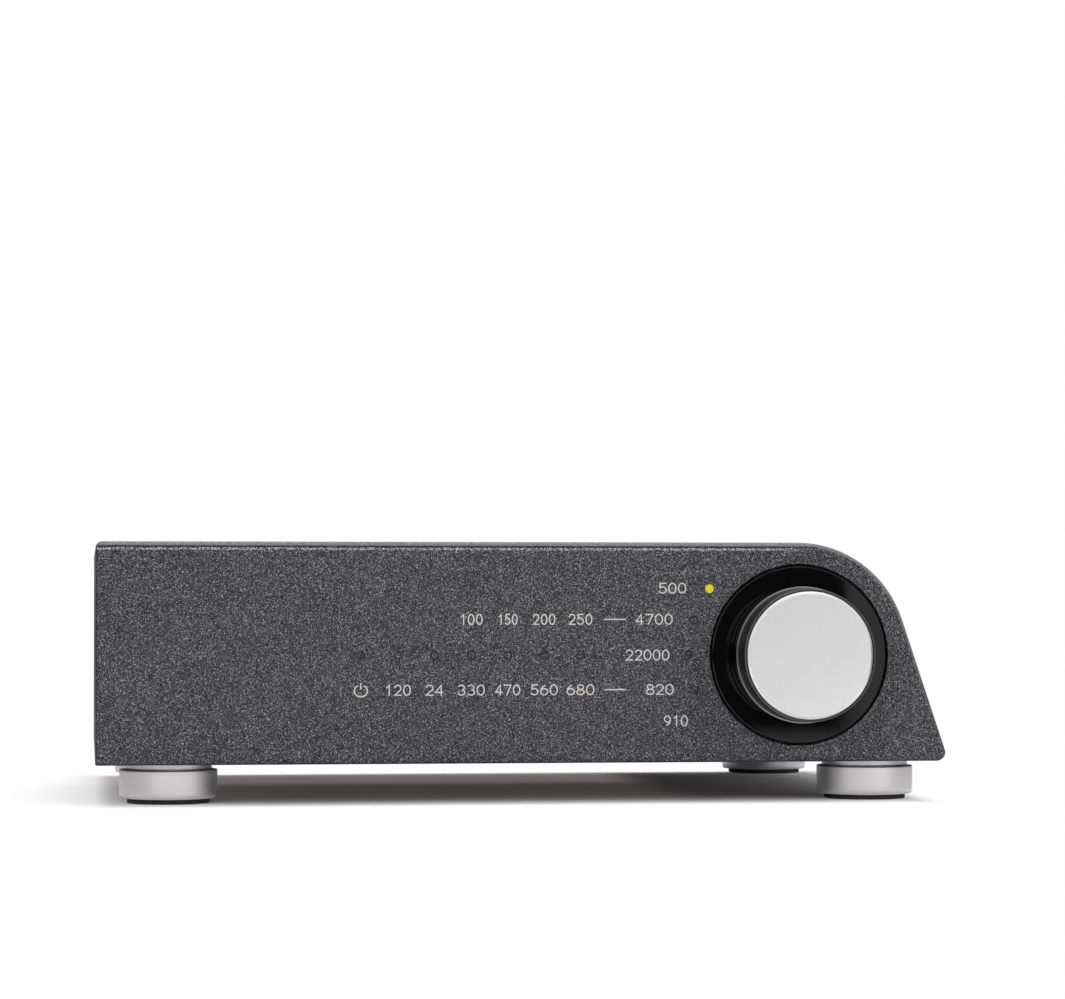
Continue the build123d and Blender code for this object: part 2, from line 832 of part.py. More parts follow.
def film_capacitors():
    blocks = on_main(film_size, film_line, film_pitch[0], rows=2, row_gap=film_pitch[1])
    return [fillet(body.edges().group_by(Axis.Z)[-1], 0.8) for body in blocks]


def signal_relays():
    return on_main(relay_size, relay_line, relay_pitch)


def amplifier_chips():
    chips = on_main(chip_size, chip_line, chip_pitch)
    notch = chip_size[1] * 0.12
    return [
        chip - Pos(chip.center().X - chip_size[0] / 2, chip.center().Y, board_top + chip_size[2])
        * Cylinder(notch, chip_size[2] / 2)
        for chip in chips
    ]


def control_chip():
    chip = block(control_size, main_box[0] + control_spot[0], main_box[2] + control_spot[1], board_top)
    return fillet(chip.edges().filter_by(Axis.Z), 0.4)


def reservoir_capacitors():
    """Four cans in a row across the supply board, each with a grooved foot and a crimped rim."""
    radius = reservoir_diameter / 2
    profile = [
        (0, 0), (radius, 0), (radius, 2.0), (radius - 0.7, 2.5), (radius, 3.0),
        (radius, reservoir_height - 0.8), (radius - 0.8, reservoir_height), (0, reservoir_height),
    ]
    y = supply_box[2] + screw_room + reservoir_share * supply_free + radius
    pitch = (supply_box[1] - supply_box[0] - reservoir_diameter) / 3
    x0 = supply_box[0] + radius
    return [turned(profile, up(x0 + i * pitch, y, board_top)) for i in range(4)]


def supply_spots():
    """Where the two heatsinks stand, with the rectifier between them."""
    middle = (supply_box[0] + supply_box[1]) / 2
    y = supply_box[3] - screw_room - sink_share * supply_free - sink_size[1] / 2
    shift = bridge_size[0] / 2 + sink_size[0] / 2 + 1.0
    return (middle - shift, y), (middle + shift, y), (middle, y)


def rectifier_bridge():
    x, y = supply_spots()[2]
    return fillet(block(bridge_size, x, y, board_top).edges().group_by(Axis.Z)[-1], 0.6)


def heatsinks():
    """Finned sinks: a back plate with upright fins towards the front."""
    width, depth, height = sink_size
    pitch = (width - fin_thickness) / (sink_fins - 1)
    z0, z1 = board_top, board_top + height
    sinks = []
    for x, y in supply_spots()[:2]:
        x0, y0, back = x - width / 2, y - depth / 2, y + depth / 2
        sink = span(x0, x0 + width, back - sink_plate, back, z0, z1)
        for i in range(sink_fins):
            sink += span(x0 + i * pitch, x0 + i * pitch + fin_thickness, y0, back, z0, z1)
        sinks.append(sink)
    return sinks


def transformer_winding():
    width = (coil_diameter - coil_hole) / 2
    section = Pos((coil_diameter + coil_hole) / 4, coil_height / 2) * RectangleRounded(
        width, coil_height, coil_rounding
    )
    ring = revolve(Plane.XZ * section, Axis.Z)
    return up(coil_x, coil_y, base_top + coil_pad) * ring


def transformer_pads():
    """Rubber discs under and over the coil; the upper one is open for the cap's dish."""
    place = up(coil_x, coil_y, base_top)
    outer, upper = coil_diameter - coil_rounding, coil_pad + coil_height
    return [
        tube(outer, coil_bolt + 2, 0, coil_pad, place),
        tube(outer, coil_hole, upper, upper + coil_pad, place),
    ]


def transformer_cap():
    """A dished steel plate: flat rim on the pad, short cone down into the coil's eye."""
    rim, cone, eye = coil_diameter / 2 - coil_rounding, coil_hole / 2 - 1, coil_bolt / 2 + slip
    seat = cone - 1.2
    profile = [
        (eye, -cap_dish), (seat, -cap_dish), (cone, 0), (rim, 0), (rim, cap_sheet), (cone - 0.5, cap_sheet),
        (seat - 0.5, cap_sheet - cap_dish), (eye, cap_sheet - cap_dish),
    ]
    return turned(profile, up(coil_x, coil_y, base_top + 2 * coil_pad + coil_height))


def transformer_bolt():
    level = base_top + 2 * coil_pad + coil_height + cap_sheet - cap_dish
    bite = level - underside - 0.6
    return screw(up(coil_x, coil_y, level), bite=bite, diameter=coil_bolt, head=coil_bolt_head)


def shield_wall():
    """A folded sheet between the supply and the audio board."""
    leg = [
        (0, 0), (shield_foot, 0), (shield_foot, shield_sheet), (shield_sheet, shield_sheet),
        (shield_sheet, shield_height), (0, shield_height),
    ]
    radii = [shield_sheet, 0, 0, 0.4, 0, 0]
    profile = make_face(FilletPolyline(*leg, radius=radii, close=True))
    wall = through(Pos(shield_x, base_top) * profile, main_box[2], rear_inner - bracket_foot - 3.0)
    for y in shield_screw_ys:
        hole = up(shield_x + shield_foot / 2, y, base_top)
        wall -= rod(screw_diameter + 2 * slip, -1, shield_sheet + 1, hole)
    return wall


ribbon_x = control_left + ribbon_spot[0]
ribbon_z = board_top + ribbon_spot[1]
ribbon_y = main_box[2] + header_depth


def ribbon_headers():
    half = ribbon_width / 2 + 1
    back = span(
        ribbon_x - half, ribbon_x + half, control_back, control_back + header_depth,
        ribbon_z - header_depth / 2, ribbon_z + header_depth / 2,
    )
    low = block((2 * half, header_depth, header_depth), ribbon_x, ribbon_y, board_top)
    return [back, low]


def ribbon_cable():
    """A flat ribbon that leaves one header level, bends down and ends on the other."""
    half, bend = ribbon_thickness / 2, 4.0
    start, end = control_back + header_depth, board_top + header_depth
    points = [
        (start, ribbon_z + half), (ribbon_y + half, ribbon_z + half), (ribbon_y + half, end),
        (ribbon_y - half, end), (ribbon_y - half, ribbon_z - half), (start, ribbon_z - half),
    ]
    band = make_face(FilletPolyline(*points, radius=[0, bend + half, 0, 0, bend - half, 0], close=True))
    return Pos(ribbon_x - ribbon_width / 2, 0, 0) * extrude(Plane.YZ * band, ribbon_width)


def socket_shells():
    barrel, stem, bore = barrel_diameter / 2, stem_diameter / 2, insulator_diameter / 2 + slip
    tip = socket_flange_height + barrel_length
    profile = [
        (bore, -stem_length), (stem, -stem_length), (stem, 0), (socket_flange / 2, 0),
        (socket_flange / 2, socket_flange_height), (barrel, socket_flange_height), (barrel, tip - 0.4),
        (barrel - 0.4, tip), (bore, tip),
    ]
    return [turned(profile, facing_rear(x, socket_z)) for x in socket_xs]


def socket_insulator(x):
    tail, tip = -stem_length - insulator_tail, socket_flange_height + barrel_length - 0.6
    return tube(insulator_diameter, contact_diameter + 2 * slip, tail, tip, facing_rear(x, socket_z))


def socket_insulators_red():
    return [socket_insulator(x) for x in socket_xs[1::2]]


def socket_insulators_white():
    return [socket_insulator(x) for x in socket_xs[0::2]]


def socket_contacts():
    tip = socket_flange_height + barrel_length - 1.0
    outer, bore, tag = contact_diameter / 2, contact_bore / 2, 0.9
    tail = -stem_length - insulator_tail
    profile = [
        (0, tail - tag_length), (tag, tail - tag_length), (tag, tail), (outer, tail), (outer, tip),
        (bore, tip), (bore, -1), (0, -1),
    ]
    return [turned(profile, facing_rear(x, socket_z)) for x in socket_xs]


def rear_panel_nuts():
    sizes = [(x, socket_nut, stem_diameter) for x in socket_xs] + [(left + post_x, post_nut, stud_diameter)]
    return [
        facing_rear(x, socket_z, rear_inner - height) * hex_nut(flats, height, bore + 2 * slip)
        for x, (flats, height), bore in sizes
    ]


def ground_post():
    stud, flange, edge = stud_diameter / 2, post_flange / 2, 0.4
    tail = -rear_thickness - post_nut[1] - 4.0
    profile = [
        (0, tail), (stud, tail), (stud, 0), (flange, 0), (flange, post_flange_height - edge),
        (flange - edge, post_flange_height), (stud, post_flange_height), (stud, stud_length - edge),
        (stud - edge, stud_length), (0, stud_length),
    ]
    return turned(profile, facing_rear(left + post_x, socket_z))


def ground_washer():
    level = post_flange_height
    bore = stud_diameter + 2 * slip
    return tube(post_flange - 1, bore, level, level + washer_plate, facing_rear(left + post_x, socket_z))


def ground_nut():
    """A thumb nut with a fluted grip and a plain collar."""
    radius = thumb_diameter / 2
    blank = Cylinder(radius, thumb_length) - Cylinder(stud_diameter / 2 + slip, 2 * thumb_length)
    blank = chamfer(blank.edges().filter_by(GeomType.CIRCLE).group_by(SortBy.RADIUS)[-1], flute_depth)
    reach = radius + flute_radius - flute_depth
    flutes = [
        Rot(0, 0, 360 / thumb_flutes * i) * Pos(reach, 0, thumb_collar) * Cylinder(flute_radius, thumb_length)
        for i in range(thumb_flutes)
    ]
    level = post_flange_height + washer_plate + thumb_length / 2
    return facing_rear(left + post_x, socket_z) * Pos(0, 0, level) * (blank - flutes)


def inlet_outline(size):
    """A mains inlet's outline: a rectangle with its two upper corners cut off."""
    half_x, half_z = size[0] / 2, size[1] / 2
    points = [
        (-half_x, -half_z), (half_x, -half_z), (half_x, half_z - inlet_corner),
        (half_x - inlet_corner, half_z), (-half_x + inlet_corner, half_z), (-half_x, half_z - inlet_corner),
    ]
    return make_face(FilletPolyline(*points, radius=0.8, close=True))


def inlet_housing():
    """The mains inlet: an oval flange, a box behind it and a keyed well round the pins."""
    centre = Pos(inlet_x, socket_z)
    plate = RectangleRounded(*inlet_flange, inlet_rounding)
    flange = through(centre * plate, rear_face, rear_face + inlet_plate)
    body = through(centre * Rectangle(*inlet_body), rear_face - inlet_body_depth, rear_face)
    floor = rear_face + inlet_plate - inlet_depth
    housing = flange + body - through(centre * inlet_outline(inlet_mouth), floor, rear_face + inlet_plate + 1)
    for x in (inlet_x - inlet_screws / 2, inlet_x + inlet_screws / 2):
        housing -= rod(screw_diameter + 2 * slip, -1, inlet_plate + 1, facing_rear(x, socket_z))
    for x, z in pin_spots():
        size = (pin_size[0] + 2 * slip, pin_size[1] + 2 * slip)
        housing -= through(Pos(x, z) * Rectangle(*size), rear_face - inlet_body_depth - 1, floor + 1)
    return housing


def pin_spots():
    half, drop = pin_pitch / 2, pin_size[1] / 2
    return (inlet_x - half, socket_z - drop), (inlet_x + half, socket_z - drop), (inlet_x, socket_z + drop)


def inlet_pins():
    back, tip = rear_face - inlet_body_depth - tag_length - 2, rear_face + inlet_plate - 2.0
    pins = [through(Pos(x, z) * Rectangle(*pin_size), back, tip) for x, z in pin_spots()]
    return [chamfer(pin.faces().sort_by(Axis.Y)[-1].edges(), 0.5) for pin in pins]


def rocker_frame():
    centre = Pos(rocker_x, socket_z)
    frame = through(centre * RectangleRounded(*rocker_flange, 1.5), rear_face, rear_face + rocker_plate)
    frame += through(centre * Rectangle(*rocker_body), rear_face - rocker_depth, rear_face)
    frame -= through(centre * Rectangle(*rocker_mouth), rear_face - rocker_well, rear_face + rocker_plate + 1)
    reach = rocker_mouth[0] / 2 + 1.4
    frame -= rod(rocker_pin + 2 * slip, -reach, reach, pivot_place())
    return frame


def pivot_place():
    return Location((rocker_x, rear_face - pivot_depth, socket_z), (0, 90, 0))


def power_rocker():
    """A see-saw button with a dished face, tilted on its two pivot pins."""
    width = rocker_mouth[0] - 0.6
    points = [
        (-2.0, -rocker_half + 1.2), (rocker_crest, -rocker_half), (rocker_crest - rocker_dip, 0),
        (rocker_crest, rocker_half), (-2.0, rocker_half - 1.2),
    ]
    profile = make_face(FilletPolyline(*points, radius=[0.5, 0.6, rocker_dish, 0.6, 0.5], close=True))
    button = Pos(-width / 2, 0, 0) * extrude(Plane.YZ * profile, width)
    reach = rocker_mouth[0] / 2 + 1.2
    button += Rot(0, 90, 0) * Cylinder(rocker_pin / 2, 2 * reach)
    return Pos(rocker_x, rear_face - pivot_depth, socket_z) * Rot(rocker_tilt, 0, 0) * button


PIECES = [
    wrap_cover, base_plate, front_panel, rear_panel, knob_bezel, light_pipes, lit_light_pipe,
    indicator_lamps, control_board, control_board_spacers, board_screws, encoder_housing, encoder_washer,
    encoder_nut, optical_sensor, push_switch, panel_brackets, chassis_screws, cover_screws, foot_necks,
    foot_bodies, foot_pads, foot_screws, main_board, board_posts, film_capacitors, signal_relays,
    amplifier_chips, control_chip, supply_board, reservoir_capacitors, rectifier_bridge, heatsinks,
    transformer_winding, transformer_pads, transformer_cap, transformer_bolt, shield_wall, ribbon_cable,
    ribbon_headers, socket_shells, socket_insulators_red, socket_insulators_white, socket_contacts,
    rear_panel_nuts, ground_post, inlet_housing, inlet_pins, rocker_frame, power_rocker, ground_washer,
    ground_nut, encoder_plunger, encoder_shaft, code_wheel, knob_skirt, knob_grip, knob_cap, knob_hub,
]

os.makedirs("parts", exist_ok=True)
for piece in PIECES:
    made = piece()
    solids = made if isinstance(made, list) else [made]
    solids = [solid for shape in solids for solid in shape.solids()]
    shape = solids[0] if len(solids) == 1 else Compound(children=solids)
    export_step(shape, f"parts/{piece.__name__}.step")
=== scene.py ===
import json
import math
import bmesh
import bpy
import numpy as np
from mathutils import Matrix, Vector


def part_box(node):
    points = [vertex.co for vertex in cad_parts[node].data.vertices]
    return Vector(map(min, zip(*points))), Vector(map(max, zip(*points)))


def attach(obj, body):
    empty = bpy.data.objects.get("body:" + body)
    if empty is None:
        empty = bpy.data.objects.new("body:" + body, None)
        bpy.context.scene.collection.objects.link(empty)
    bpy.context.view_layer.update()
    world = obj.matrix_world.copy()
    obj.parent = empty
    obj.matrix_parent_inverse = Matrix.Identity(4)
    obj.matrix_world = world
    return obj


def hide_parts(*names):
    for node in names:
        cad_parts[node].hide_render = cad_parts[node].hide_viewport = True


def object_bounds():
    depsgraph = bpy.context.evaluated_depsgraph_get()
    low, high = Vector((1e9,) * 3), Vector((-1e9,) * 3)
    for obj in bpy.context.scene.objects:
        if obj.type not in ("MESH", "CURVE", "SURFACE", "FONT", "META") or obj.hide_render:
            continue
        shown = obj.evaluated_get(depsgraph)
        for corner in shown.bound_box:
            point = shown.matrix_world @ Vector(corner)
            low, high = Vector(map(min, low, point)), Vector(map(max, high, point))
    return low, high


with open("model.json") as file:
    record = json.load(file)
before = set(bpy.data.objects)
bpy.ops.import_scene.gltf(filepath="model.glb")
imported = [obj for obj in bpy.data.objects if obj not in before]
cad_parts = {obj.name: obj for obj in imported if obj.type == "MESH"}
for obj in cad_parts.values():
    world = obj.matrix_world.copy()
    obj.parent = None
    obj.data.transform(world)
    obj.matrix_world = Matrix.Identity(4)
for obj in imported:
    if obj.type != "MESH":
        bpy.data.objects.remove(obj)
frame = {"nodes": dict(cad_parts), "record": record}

# Phono preamp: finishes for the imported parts, and smooth surfaces for the turned ones.
# The camera, the lamps and the floor are given in metres, and every piece in millimetres.

cadBounds = [list(corner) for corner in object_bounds()]
mm = 0.001


def middleOf(node):
    low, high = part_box(node)
    return (low + high) / 2


panelLow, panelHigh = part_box("front_panel")
panelFace = panelLow.y
leftSide = panelLow.x
knobAxis = Vector((middleOf("knob_bezel").x, panelFace, middleOf("knob_bezel").z))
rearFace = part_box("rear_panel")[1].y


# The shader nodes of one material or world, made and wired by short calls.
class Nodes:
    def __init__(self, owner):
        owner.use_nodes = True
        self.nodes, self.links = owner.node_tree.nodes, owner.node_tree.links

    def add(self, kind):
        return self.nodes.new("ShaderNode" + kind)

    # a number is written on the socket, and anything else is linked to it
    def put(self, socket, value):
        if isinstance(value, (int, float)):
            socket.default_value = value
        else:
            self.links.new(value, socket)

    def maths(self, operation, a, b=0.0):
        node = self.add("Math")
        node.operation = operation
        self.put(node.inputs[0], a)
        self.put(node.inputs[1], b)
        return node.outputs[0]

    # low at the first value, high at the second, straight between them and level beyond
    def spread(self, value, low, high, first=0.0, second=1.0):
        node = self.add("MapRange")
        for socket, level in zip(("Value", "From Min", "From Max", "To Min", "To Max"),
                                 (value, first, second, low, high)):
            self.put(node.inputs[socket], level)
        return node.outputs["Result"]

    # 0 at the start and 1 at the end, with a smooth rise
    def fade(self, value, start, end):
        result = self.spread(value, 0.0, 1.0, start, end)
        result.node.interpolation_type = "SMOOTHSTEP"
        return result

    # one coordinate of a vector
    def part(self, vector, axis):
        node = self.add("SeparateXYZ")
        self.links.new(vector, node.inputs[0])
        return node.outputs[axis]

    def glow(self, strength=1.0, colour=(1, 1, 1, 1)):
        node = self.add("Emission")
        node.inputs["Color"].default_value = colour
        self.put(node.inputs["Strength"], strength)
        return node.outputs[0]

    # two shaders, with the share of the second
    def mix(self, share, one, other):
        node = self.add("MixShader")
        for socket, value in zip(node.inputs, (share, one, other)):
            self.links.new(value, socket)
        return node.outputs[0]

    def show(self, shader):
        self.links.new(shader, self.add("OutputMaterial").inputs["Surface"])


camera = {
    "place": (-0.1429, -1.1879, 0.0662),
    "toTheRight": 7.07,  # degrees
    "upwards": 1.20,
    "lens": 112.8,  # millimetres, as the sensor
    "sensor": 36.0,
    "shift": (0.03, 0.03),  # of the picture's longer side
    "sight": 200.0,  # how far it sees
}


def addCamera():
    data = bpy.data.cameras.new("camera")
    data.lens = camera["lens"]
    data.sensor_width = camera["sensor"]
    data.shift_x, data.shift_y = camera["shift"]
    data.clip_end = camera["sight"]
    holder = bpy.data.objects.new("camera", data)
    bpy.context.scene.collection.objects.link(holder)
    holder.location = camera["place"]
    holder.rotation_euler = (
        math.radians(90 + camera["upwards"]), 0, math.radians(-camera["toTheRight"]),
    )
    bpy.context.scene.camera = holder


light = {
    "worldForSurfaces": 0.45,  # world strength that diffuse surfaces see
    "glossFront": 1.0,  # and what gloss sees in front, and behind
    "glossRear": 0.25,
    "glossTurn": (-0.1, 0.8),  # where it turns, on rearwards minus upwards part of the direction
    "lamps": {  # name: (place, aims at, size, watts)
        "topSoftbox": ((0.0, 0.25, 1.1), (0.0, 0.0, 0.0), (1.3, 0.9), 11.0),
        "frontLeft": ((-0.85, -1.25, 0.75), (0.0, -0.1, 0.05), (0.7, 0.7), 9.0),
        "frontRight": ((1.0, -1.0, 0.6), (0.0, -0.1, 0.05), (0.6, 0.8), 8.0),
        "rearStrip": ((0.0, 1.3, 0.5), (0.0, 0.1, 0.0), (1.8, 0.25), 5.0),
    },
    "outOfReflections": ("frontLeft", "frontRight"),
}


# White for the camera and through clear parts, dimmer for surfaces, and dim for gloss from behind.
def addWorld():
    studio = bpy.data.worlds.new("studio")
    bpy.context.scene.world = studio
    world = Nodes(studio)
    direction = world.add("TexCoord").outputs["Generated"]
    behind = world.maths("SUBTRACT", world.part(direction, "Y"), world.part(direction, "Z"))
    gloss = world.spread(behind, light["glossFront"], light["glossRear"], *light["glossTurn"])
    rays = world.add("LightPath").outputs
    strength = world.spread(rays["Is Glossy Ray"], light["worldForSurfaces"], gloss)
    strength = world.spread(rays["Is Transmission Ray"], strength, 1.0)
    strength = world.spread(rays["Is Camera Ray"], strength, 1.0)
    background = world.nodes["Background"]
    background.inputs["Color"].default_value = (1, 1, 1, 1)
    world.put(background.inputs["Strength"], strength)


def addLamps():
    for name, (place, target, size, watts) in light["lamps"].items():
        data = bpy.data.lights.new(name, "AREA")
        data.shape = "RECTANGLE"
        data.size, data.size_y = size
        data.energy = watts
        lamp = bpy.data.objects.new(name, data)
        bpy.context.scene.collection.objects.link(lamp)
        lamp.visible_glossy = name not in light["outOfReflections"]
        lamp.location = place
        aim = Vector(target) - Vector(place)
        lamp.rotation_euler = aim.to_track_quat("-Z", "Y").to_euler()


floorLook = {
    "size": 60.0,
    "colour": (0.95, 0.95, 0.95, 1),
    # outside the object, where its shadow starts and ends fading on each side
    "leftMargin": (-0.012, 0.075),
    "rightMargin": (-0.012, 0.001),
    "frontMargin": (-0.013, 0.011),
    "rearMargin": (-0.030, -0.014),
    "rightSlant": 0.05,  # how far the right margin moves outwards for each metre to the rear
    "shadowLift": (0.046, 0.039, 0.039, 1),  # least that the camera sees of the floor
    "rearLift": (-0.110, -0.068, 2.1),  # behind the rear, where it grows, and by how many times
    "rightLift": (0.045, 0.070, 0.35),  # to the right, where it changes, and to what share
    "glossFade": (0.42, 0.72),  # in front of the panel, where it darkens for gloss
    "glossBlend": 0.1,  # how far before that the gloss leaves the lit floor
    "darkFloor": 0.04,  # and how bright it is there
    "darkSide": (0.1065, 0.231),  # its right edge: place at the panel, and slope
    "darkSoft": 0.01,  # half the width of that edge
    "greyAside": (0.0, 0.16, 0.88),  # aside of the object, where it dims for gloss, and by what share
}


# What the camera sees: white away from the object, and its shadow near it. The deepest shadow is
# lifted to a warm grey, paler towards the rear except on the right.
def seenFloor(floor, x, outside, cameraRay):
    slant = floor.maths("MULTIPLY", outside["front"], floorLook["rightSlant"])
    margins = dict(outside, right=floor.maths("ADD", outside["right"], slant))
    away = 0.0
    for side, distance in margins.items():
        away = floor.maths("MAXIMUM", floor.fade(distance, *floorLook[side + "Margin"]), away)
    start, end, times = floorLook["rearLift"]
    extra = floor.maths("MULTIPLY", floor.fade(outside["rear"], start, end), times)
    paler = floor.maths("ADD", extra, 1.0)
    start, end, share = floorLook["rightLift"]
    right = floor.fade(x, start, end)
    leftLevel = floor.maths("MULTIPLY", paler, floor.maths("SUBTRACT", 1.0, right))
    level = floor.maths("ADD", leftLevel, floor.maths("MULTIPLY", right, share))
    shade = floor.add("BsdfDiffuse")
    shade.inputs["Color"].default_value = floorLook["colour"]
    lifted = floor.add("AddShader")
    floor.links.new(shade.outputs[0], lifted.inputs[0])
    lift = floor.glow(floor.maths("MULTIPLY", level, cameraRay), floorLook["shadowLift"])
    floor.links.new(lift, lifted.inputs[1])
    return floor.mix(floor.maths("MULTIPLY", away, cameraRay), lifted.outputs[0], floor.glow())


# What gloss sees: the lit floor near the object, a dark studio ahead of it with a white one to its
# right, and a dimmed floor aside. Gives the light, and the share of it in what gloss sees.
def mirroredFloor(floor, x, outside):
    ahead, fading, soft = outside["front"], floorLook["glossFade"], floorLook["darkSoft"]
    place, slope = floorLook["darkSide"]
    edge = floor.maths("ADD", floor.maths("MULTIPLY", ahead, slope), place)
    leftOfEdge = floor.fade(floor.maths("SUBTRACT", x, edge), soft, -soft)
    dark = floor.maths("MULTIPLY", floor.fade(ahead, *fading), leftOfEdge)
    start, end, share = floorLook["greyAside"]
    asides = (floor.fade(outside[side], start, end) for side in ("left", "right"))
    aside = floor.maths("MULTIPLY", floor.maths("MAXIMUM", *asides), floor.fade(ahead, end, start))
    studio = floor.maths("SUBTRACT", 1.0, floor.maths("MULTIPLY", dark, 1 - floorLook["darkFloor"]))
    dimmed = floor.maths("SUBTRACT", 1.0, floor.maths("MULTIPLY", aside, share))
    farAhead = floor.fade(ahead, fading[0] - floorLook["glossBlend"], fading[0])
    return floor.glow(floor.maths("MULTIPLY", studio, dimmed)), floor.maths("MAXIMUM", farAhead, aside)


def stagePlane(name, corners, material):
    mesh = bpy.data.meshes.new(name)
    mesh.from_pydata(corners, [], [(0, 1, 2, 3)])
    mesh.materials.append(material)
    plane = bpy.data.objects.new(name, mesh)
    bpy.context.scene.collection.objects.link(plane)
    return plane


def addFloor():
    material = bpy.data.materials.new("paleFloor")
    floor = Nodes(material)
    floor.nodes.clear()
    place = floor.add("NewGeometry").outputs["Position"]
    rays = floor.add("LightPath").outputs
    x, y = floor.part(place, "X"), floor.part(place, "Y")
    outside = {  # how far a point lies outside the object's footprint, on each side
        "left": floor.maths("SUBTRACT", cadBounds[0][0], x),
        "right": floor.maths("SUBTRACT", x, cadBounds[1][0]),
        "front": floor.maths("SUBTRACT", panelFace, y),
        "rear": floor.maths("SUBTRACT", y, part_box("wrap_cover")[1].y),
    }
    seen = seenFloor(floor, x, outside, rays["Is Camera Ray"])
    mirrored, share = mirroredFloor(floor, x, outside)
    floor.show(floor.mix(floor.maths("MULTIPLY", share, rays["Is Glossy Ray"]), seen, mirrored))
    half = floorLook["size"] / 2
    corners = [(-half, -half, 0), (half, -half, 0), (half, half, 0), (-half, half, 0)]
    plane = stagePlane("floor", corners, material)


cards = {  # upright cards that only gloss sees: (one end, other end, height, strength)
    "frontCard": ((-1.5, -1.6), (0.45, -1.6), 0.12, 0.04),
    "leftCard": ((-0.30, -0.30), (-0.30, 0.45), 0.08, 0.10),
    "rightCard": ((0.30, -0.25), (0.30, 0.45), 0.08, 0.08),
}


def addCards():
    for name, (one, other, height, strength) in cards.items():
        material = bpy.data.materials.new(name)
        glowing = Nodes(material)
        glowing.nodes.clear()
        glowing.show(glowing.glow(strength))
        corners = [(*one, 0), (*other, 0), (*other, height), (*one, height)]
        card = stagePlane(name, corners, material)
        card.visible_camera = False
        card.visible_diffuse = False
        card.visible_shadow = False
        card.visible_transmission = False


bpy.context.scene.view_settings.view_transform = "Standard"
addCamera()
addWorld()
addLamps()
addFloor()
addCards()
print("camera, light and floor ready")


# A piece's material: the usual shader and the nodes that feed it.
class Finish(Nodes):
    def __init__(self, name, metallic=0.0, **values):
        self.material = bpy.data.materials.new(name)
        super().__init__(self.material)
        self.shader = self.nodes["Principled BSDF"]
        self.shader.inputs["Metallic"].default_value = metallic
        for socket, value in values.items():
            self.shader.inputs[socket.replace("_", " ")].default_value = value

    # object coordinates in metres, stretched along each axis
    def place(self, stretch=(1, 1, 1)):
        mapping = self.add("Mapping")
        mapping.inputs["Scale"].default_value = stretch
        self.links.new(self.add("TexCoord").outputs["Object"], mapping.inputs["Vector"])
        return mapping.outputs["Vector"]

    # one object coordinate in metres
    def along(self, axis):
        return self.part(self.place(), axis)

    # noise whose lumps measure size millimetres
    def noise(self, size, detail=2.0, roughness=0.5, stretch=(1, 1, 1)):
        node = self.add("TexNoise")
        node.inputs["Scale"].default_value = 1 / (size * mm)
        node.inputs["Detail"].default_value = detail
        node.inputs["Roughness"].default_value = roughness
        self.links.new(self.place(stretch), node.inputs["Vector"])
        return node.outputs["Fac"]

    # one random value for each cell of about size millimetres
    def cells(self, size):
        node = self.add("TexVoronoi")
        node.inputs["Scale"].default_value = 1 / (size * mm)
        self.links.new(self.place(), node.inputs["Vector"])
        channels = self.add("SeparateColor")
        self.links.new(node.outputs["Color"], channels.inputs[0])
        return channels.outputs[0]

    # colours at their places between 0 and 1, blended between them
    def ramp(self, value, places, colours):
        node = self.add("ValToRGB")
        stops = node.color_ramp.elements
        while len(stops) < len(places):
            stops.new(1.0)
        for stop, position, colour in zip(stops, places, colours):
            stop.position = position
            stop.color = (*colour, 1)
        self.links.new(value, node.inputs["Fac"])
        return node.outputs["Color"]

    # two colours, with the share of the second; a mix node takes its colours at sockets 6 and 7
    def blend(self, a, b, share):
        node = self.add("Mix")
        node.data_type = "RGBA"
        for socket, value in ((0, share), (6, a), (7, b)):
            self.links.new(value, node.inputs[socket])
        return node.outputs[2]

    # the mean of two values, with the share of the second
    def mean(self, a, b, share):
        return self.maths("ADD", self.maths("MULTIPLY", a, 1 - share), self.maths("MULTIPLY", b, share))

    # the product of several values
    def product(self, first, *others):
        for value in others:
            first = self.maths("MULTIPLY", first, value)
        return first

    def feed(self, socket, value):
        self.links.new(value, self.shader.inputs[socket])

    # relief of the given height in millimetres
    def bump(self, value, height, strength):
        node = self.add("Bump")
        node.inputs["Strength"].default_value = strength
        node.inputs["Distance"].default_value = height * mm
        self.links.new(value, node.inputs["Height"])
        self.feed("Normal", node.outputs["Normal"])


noiseRange = (0.3, 0.7)  # most values of a noise lie between these

powder = {
    "grain": 0.25,
    "lumps": 0.225, "lumpShare": 0.36,  # size and share of the soft lumps under the grains
    "steps": (0.12, 0.47, 0.76, 0.86),  # where each of the four tones lies on the grain's value
    "dark": (0.0035, 0.0034, 0.0042),
    "middle": (0.0275, 0.0269, 0.0306),
    "pale": (0.114, 0.114, 0.124),
    "fleck": (0.46, 0.46, 0.48),
    "relief": 0.05, "reliefStrength": 0.6,
    "roughness": (0.62, 0.38),
    "specular": 0.15,
}
rearPowder = dict(
    powder, middle=(0.028, 0.0275, 0.031), pale=(0.075, 0.075, 0.08), fleck=(0.15, 0.15, 0.16))

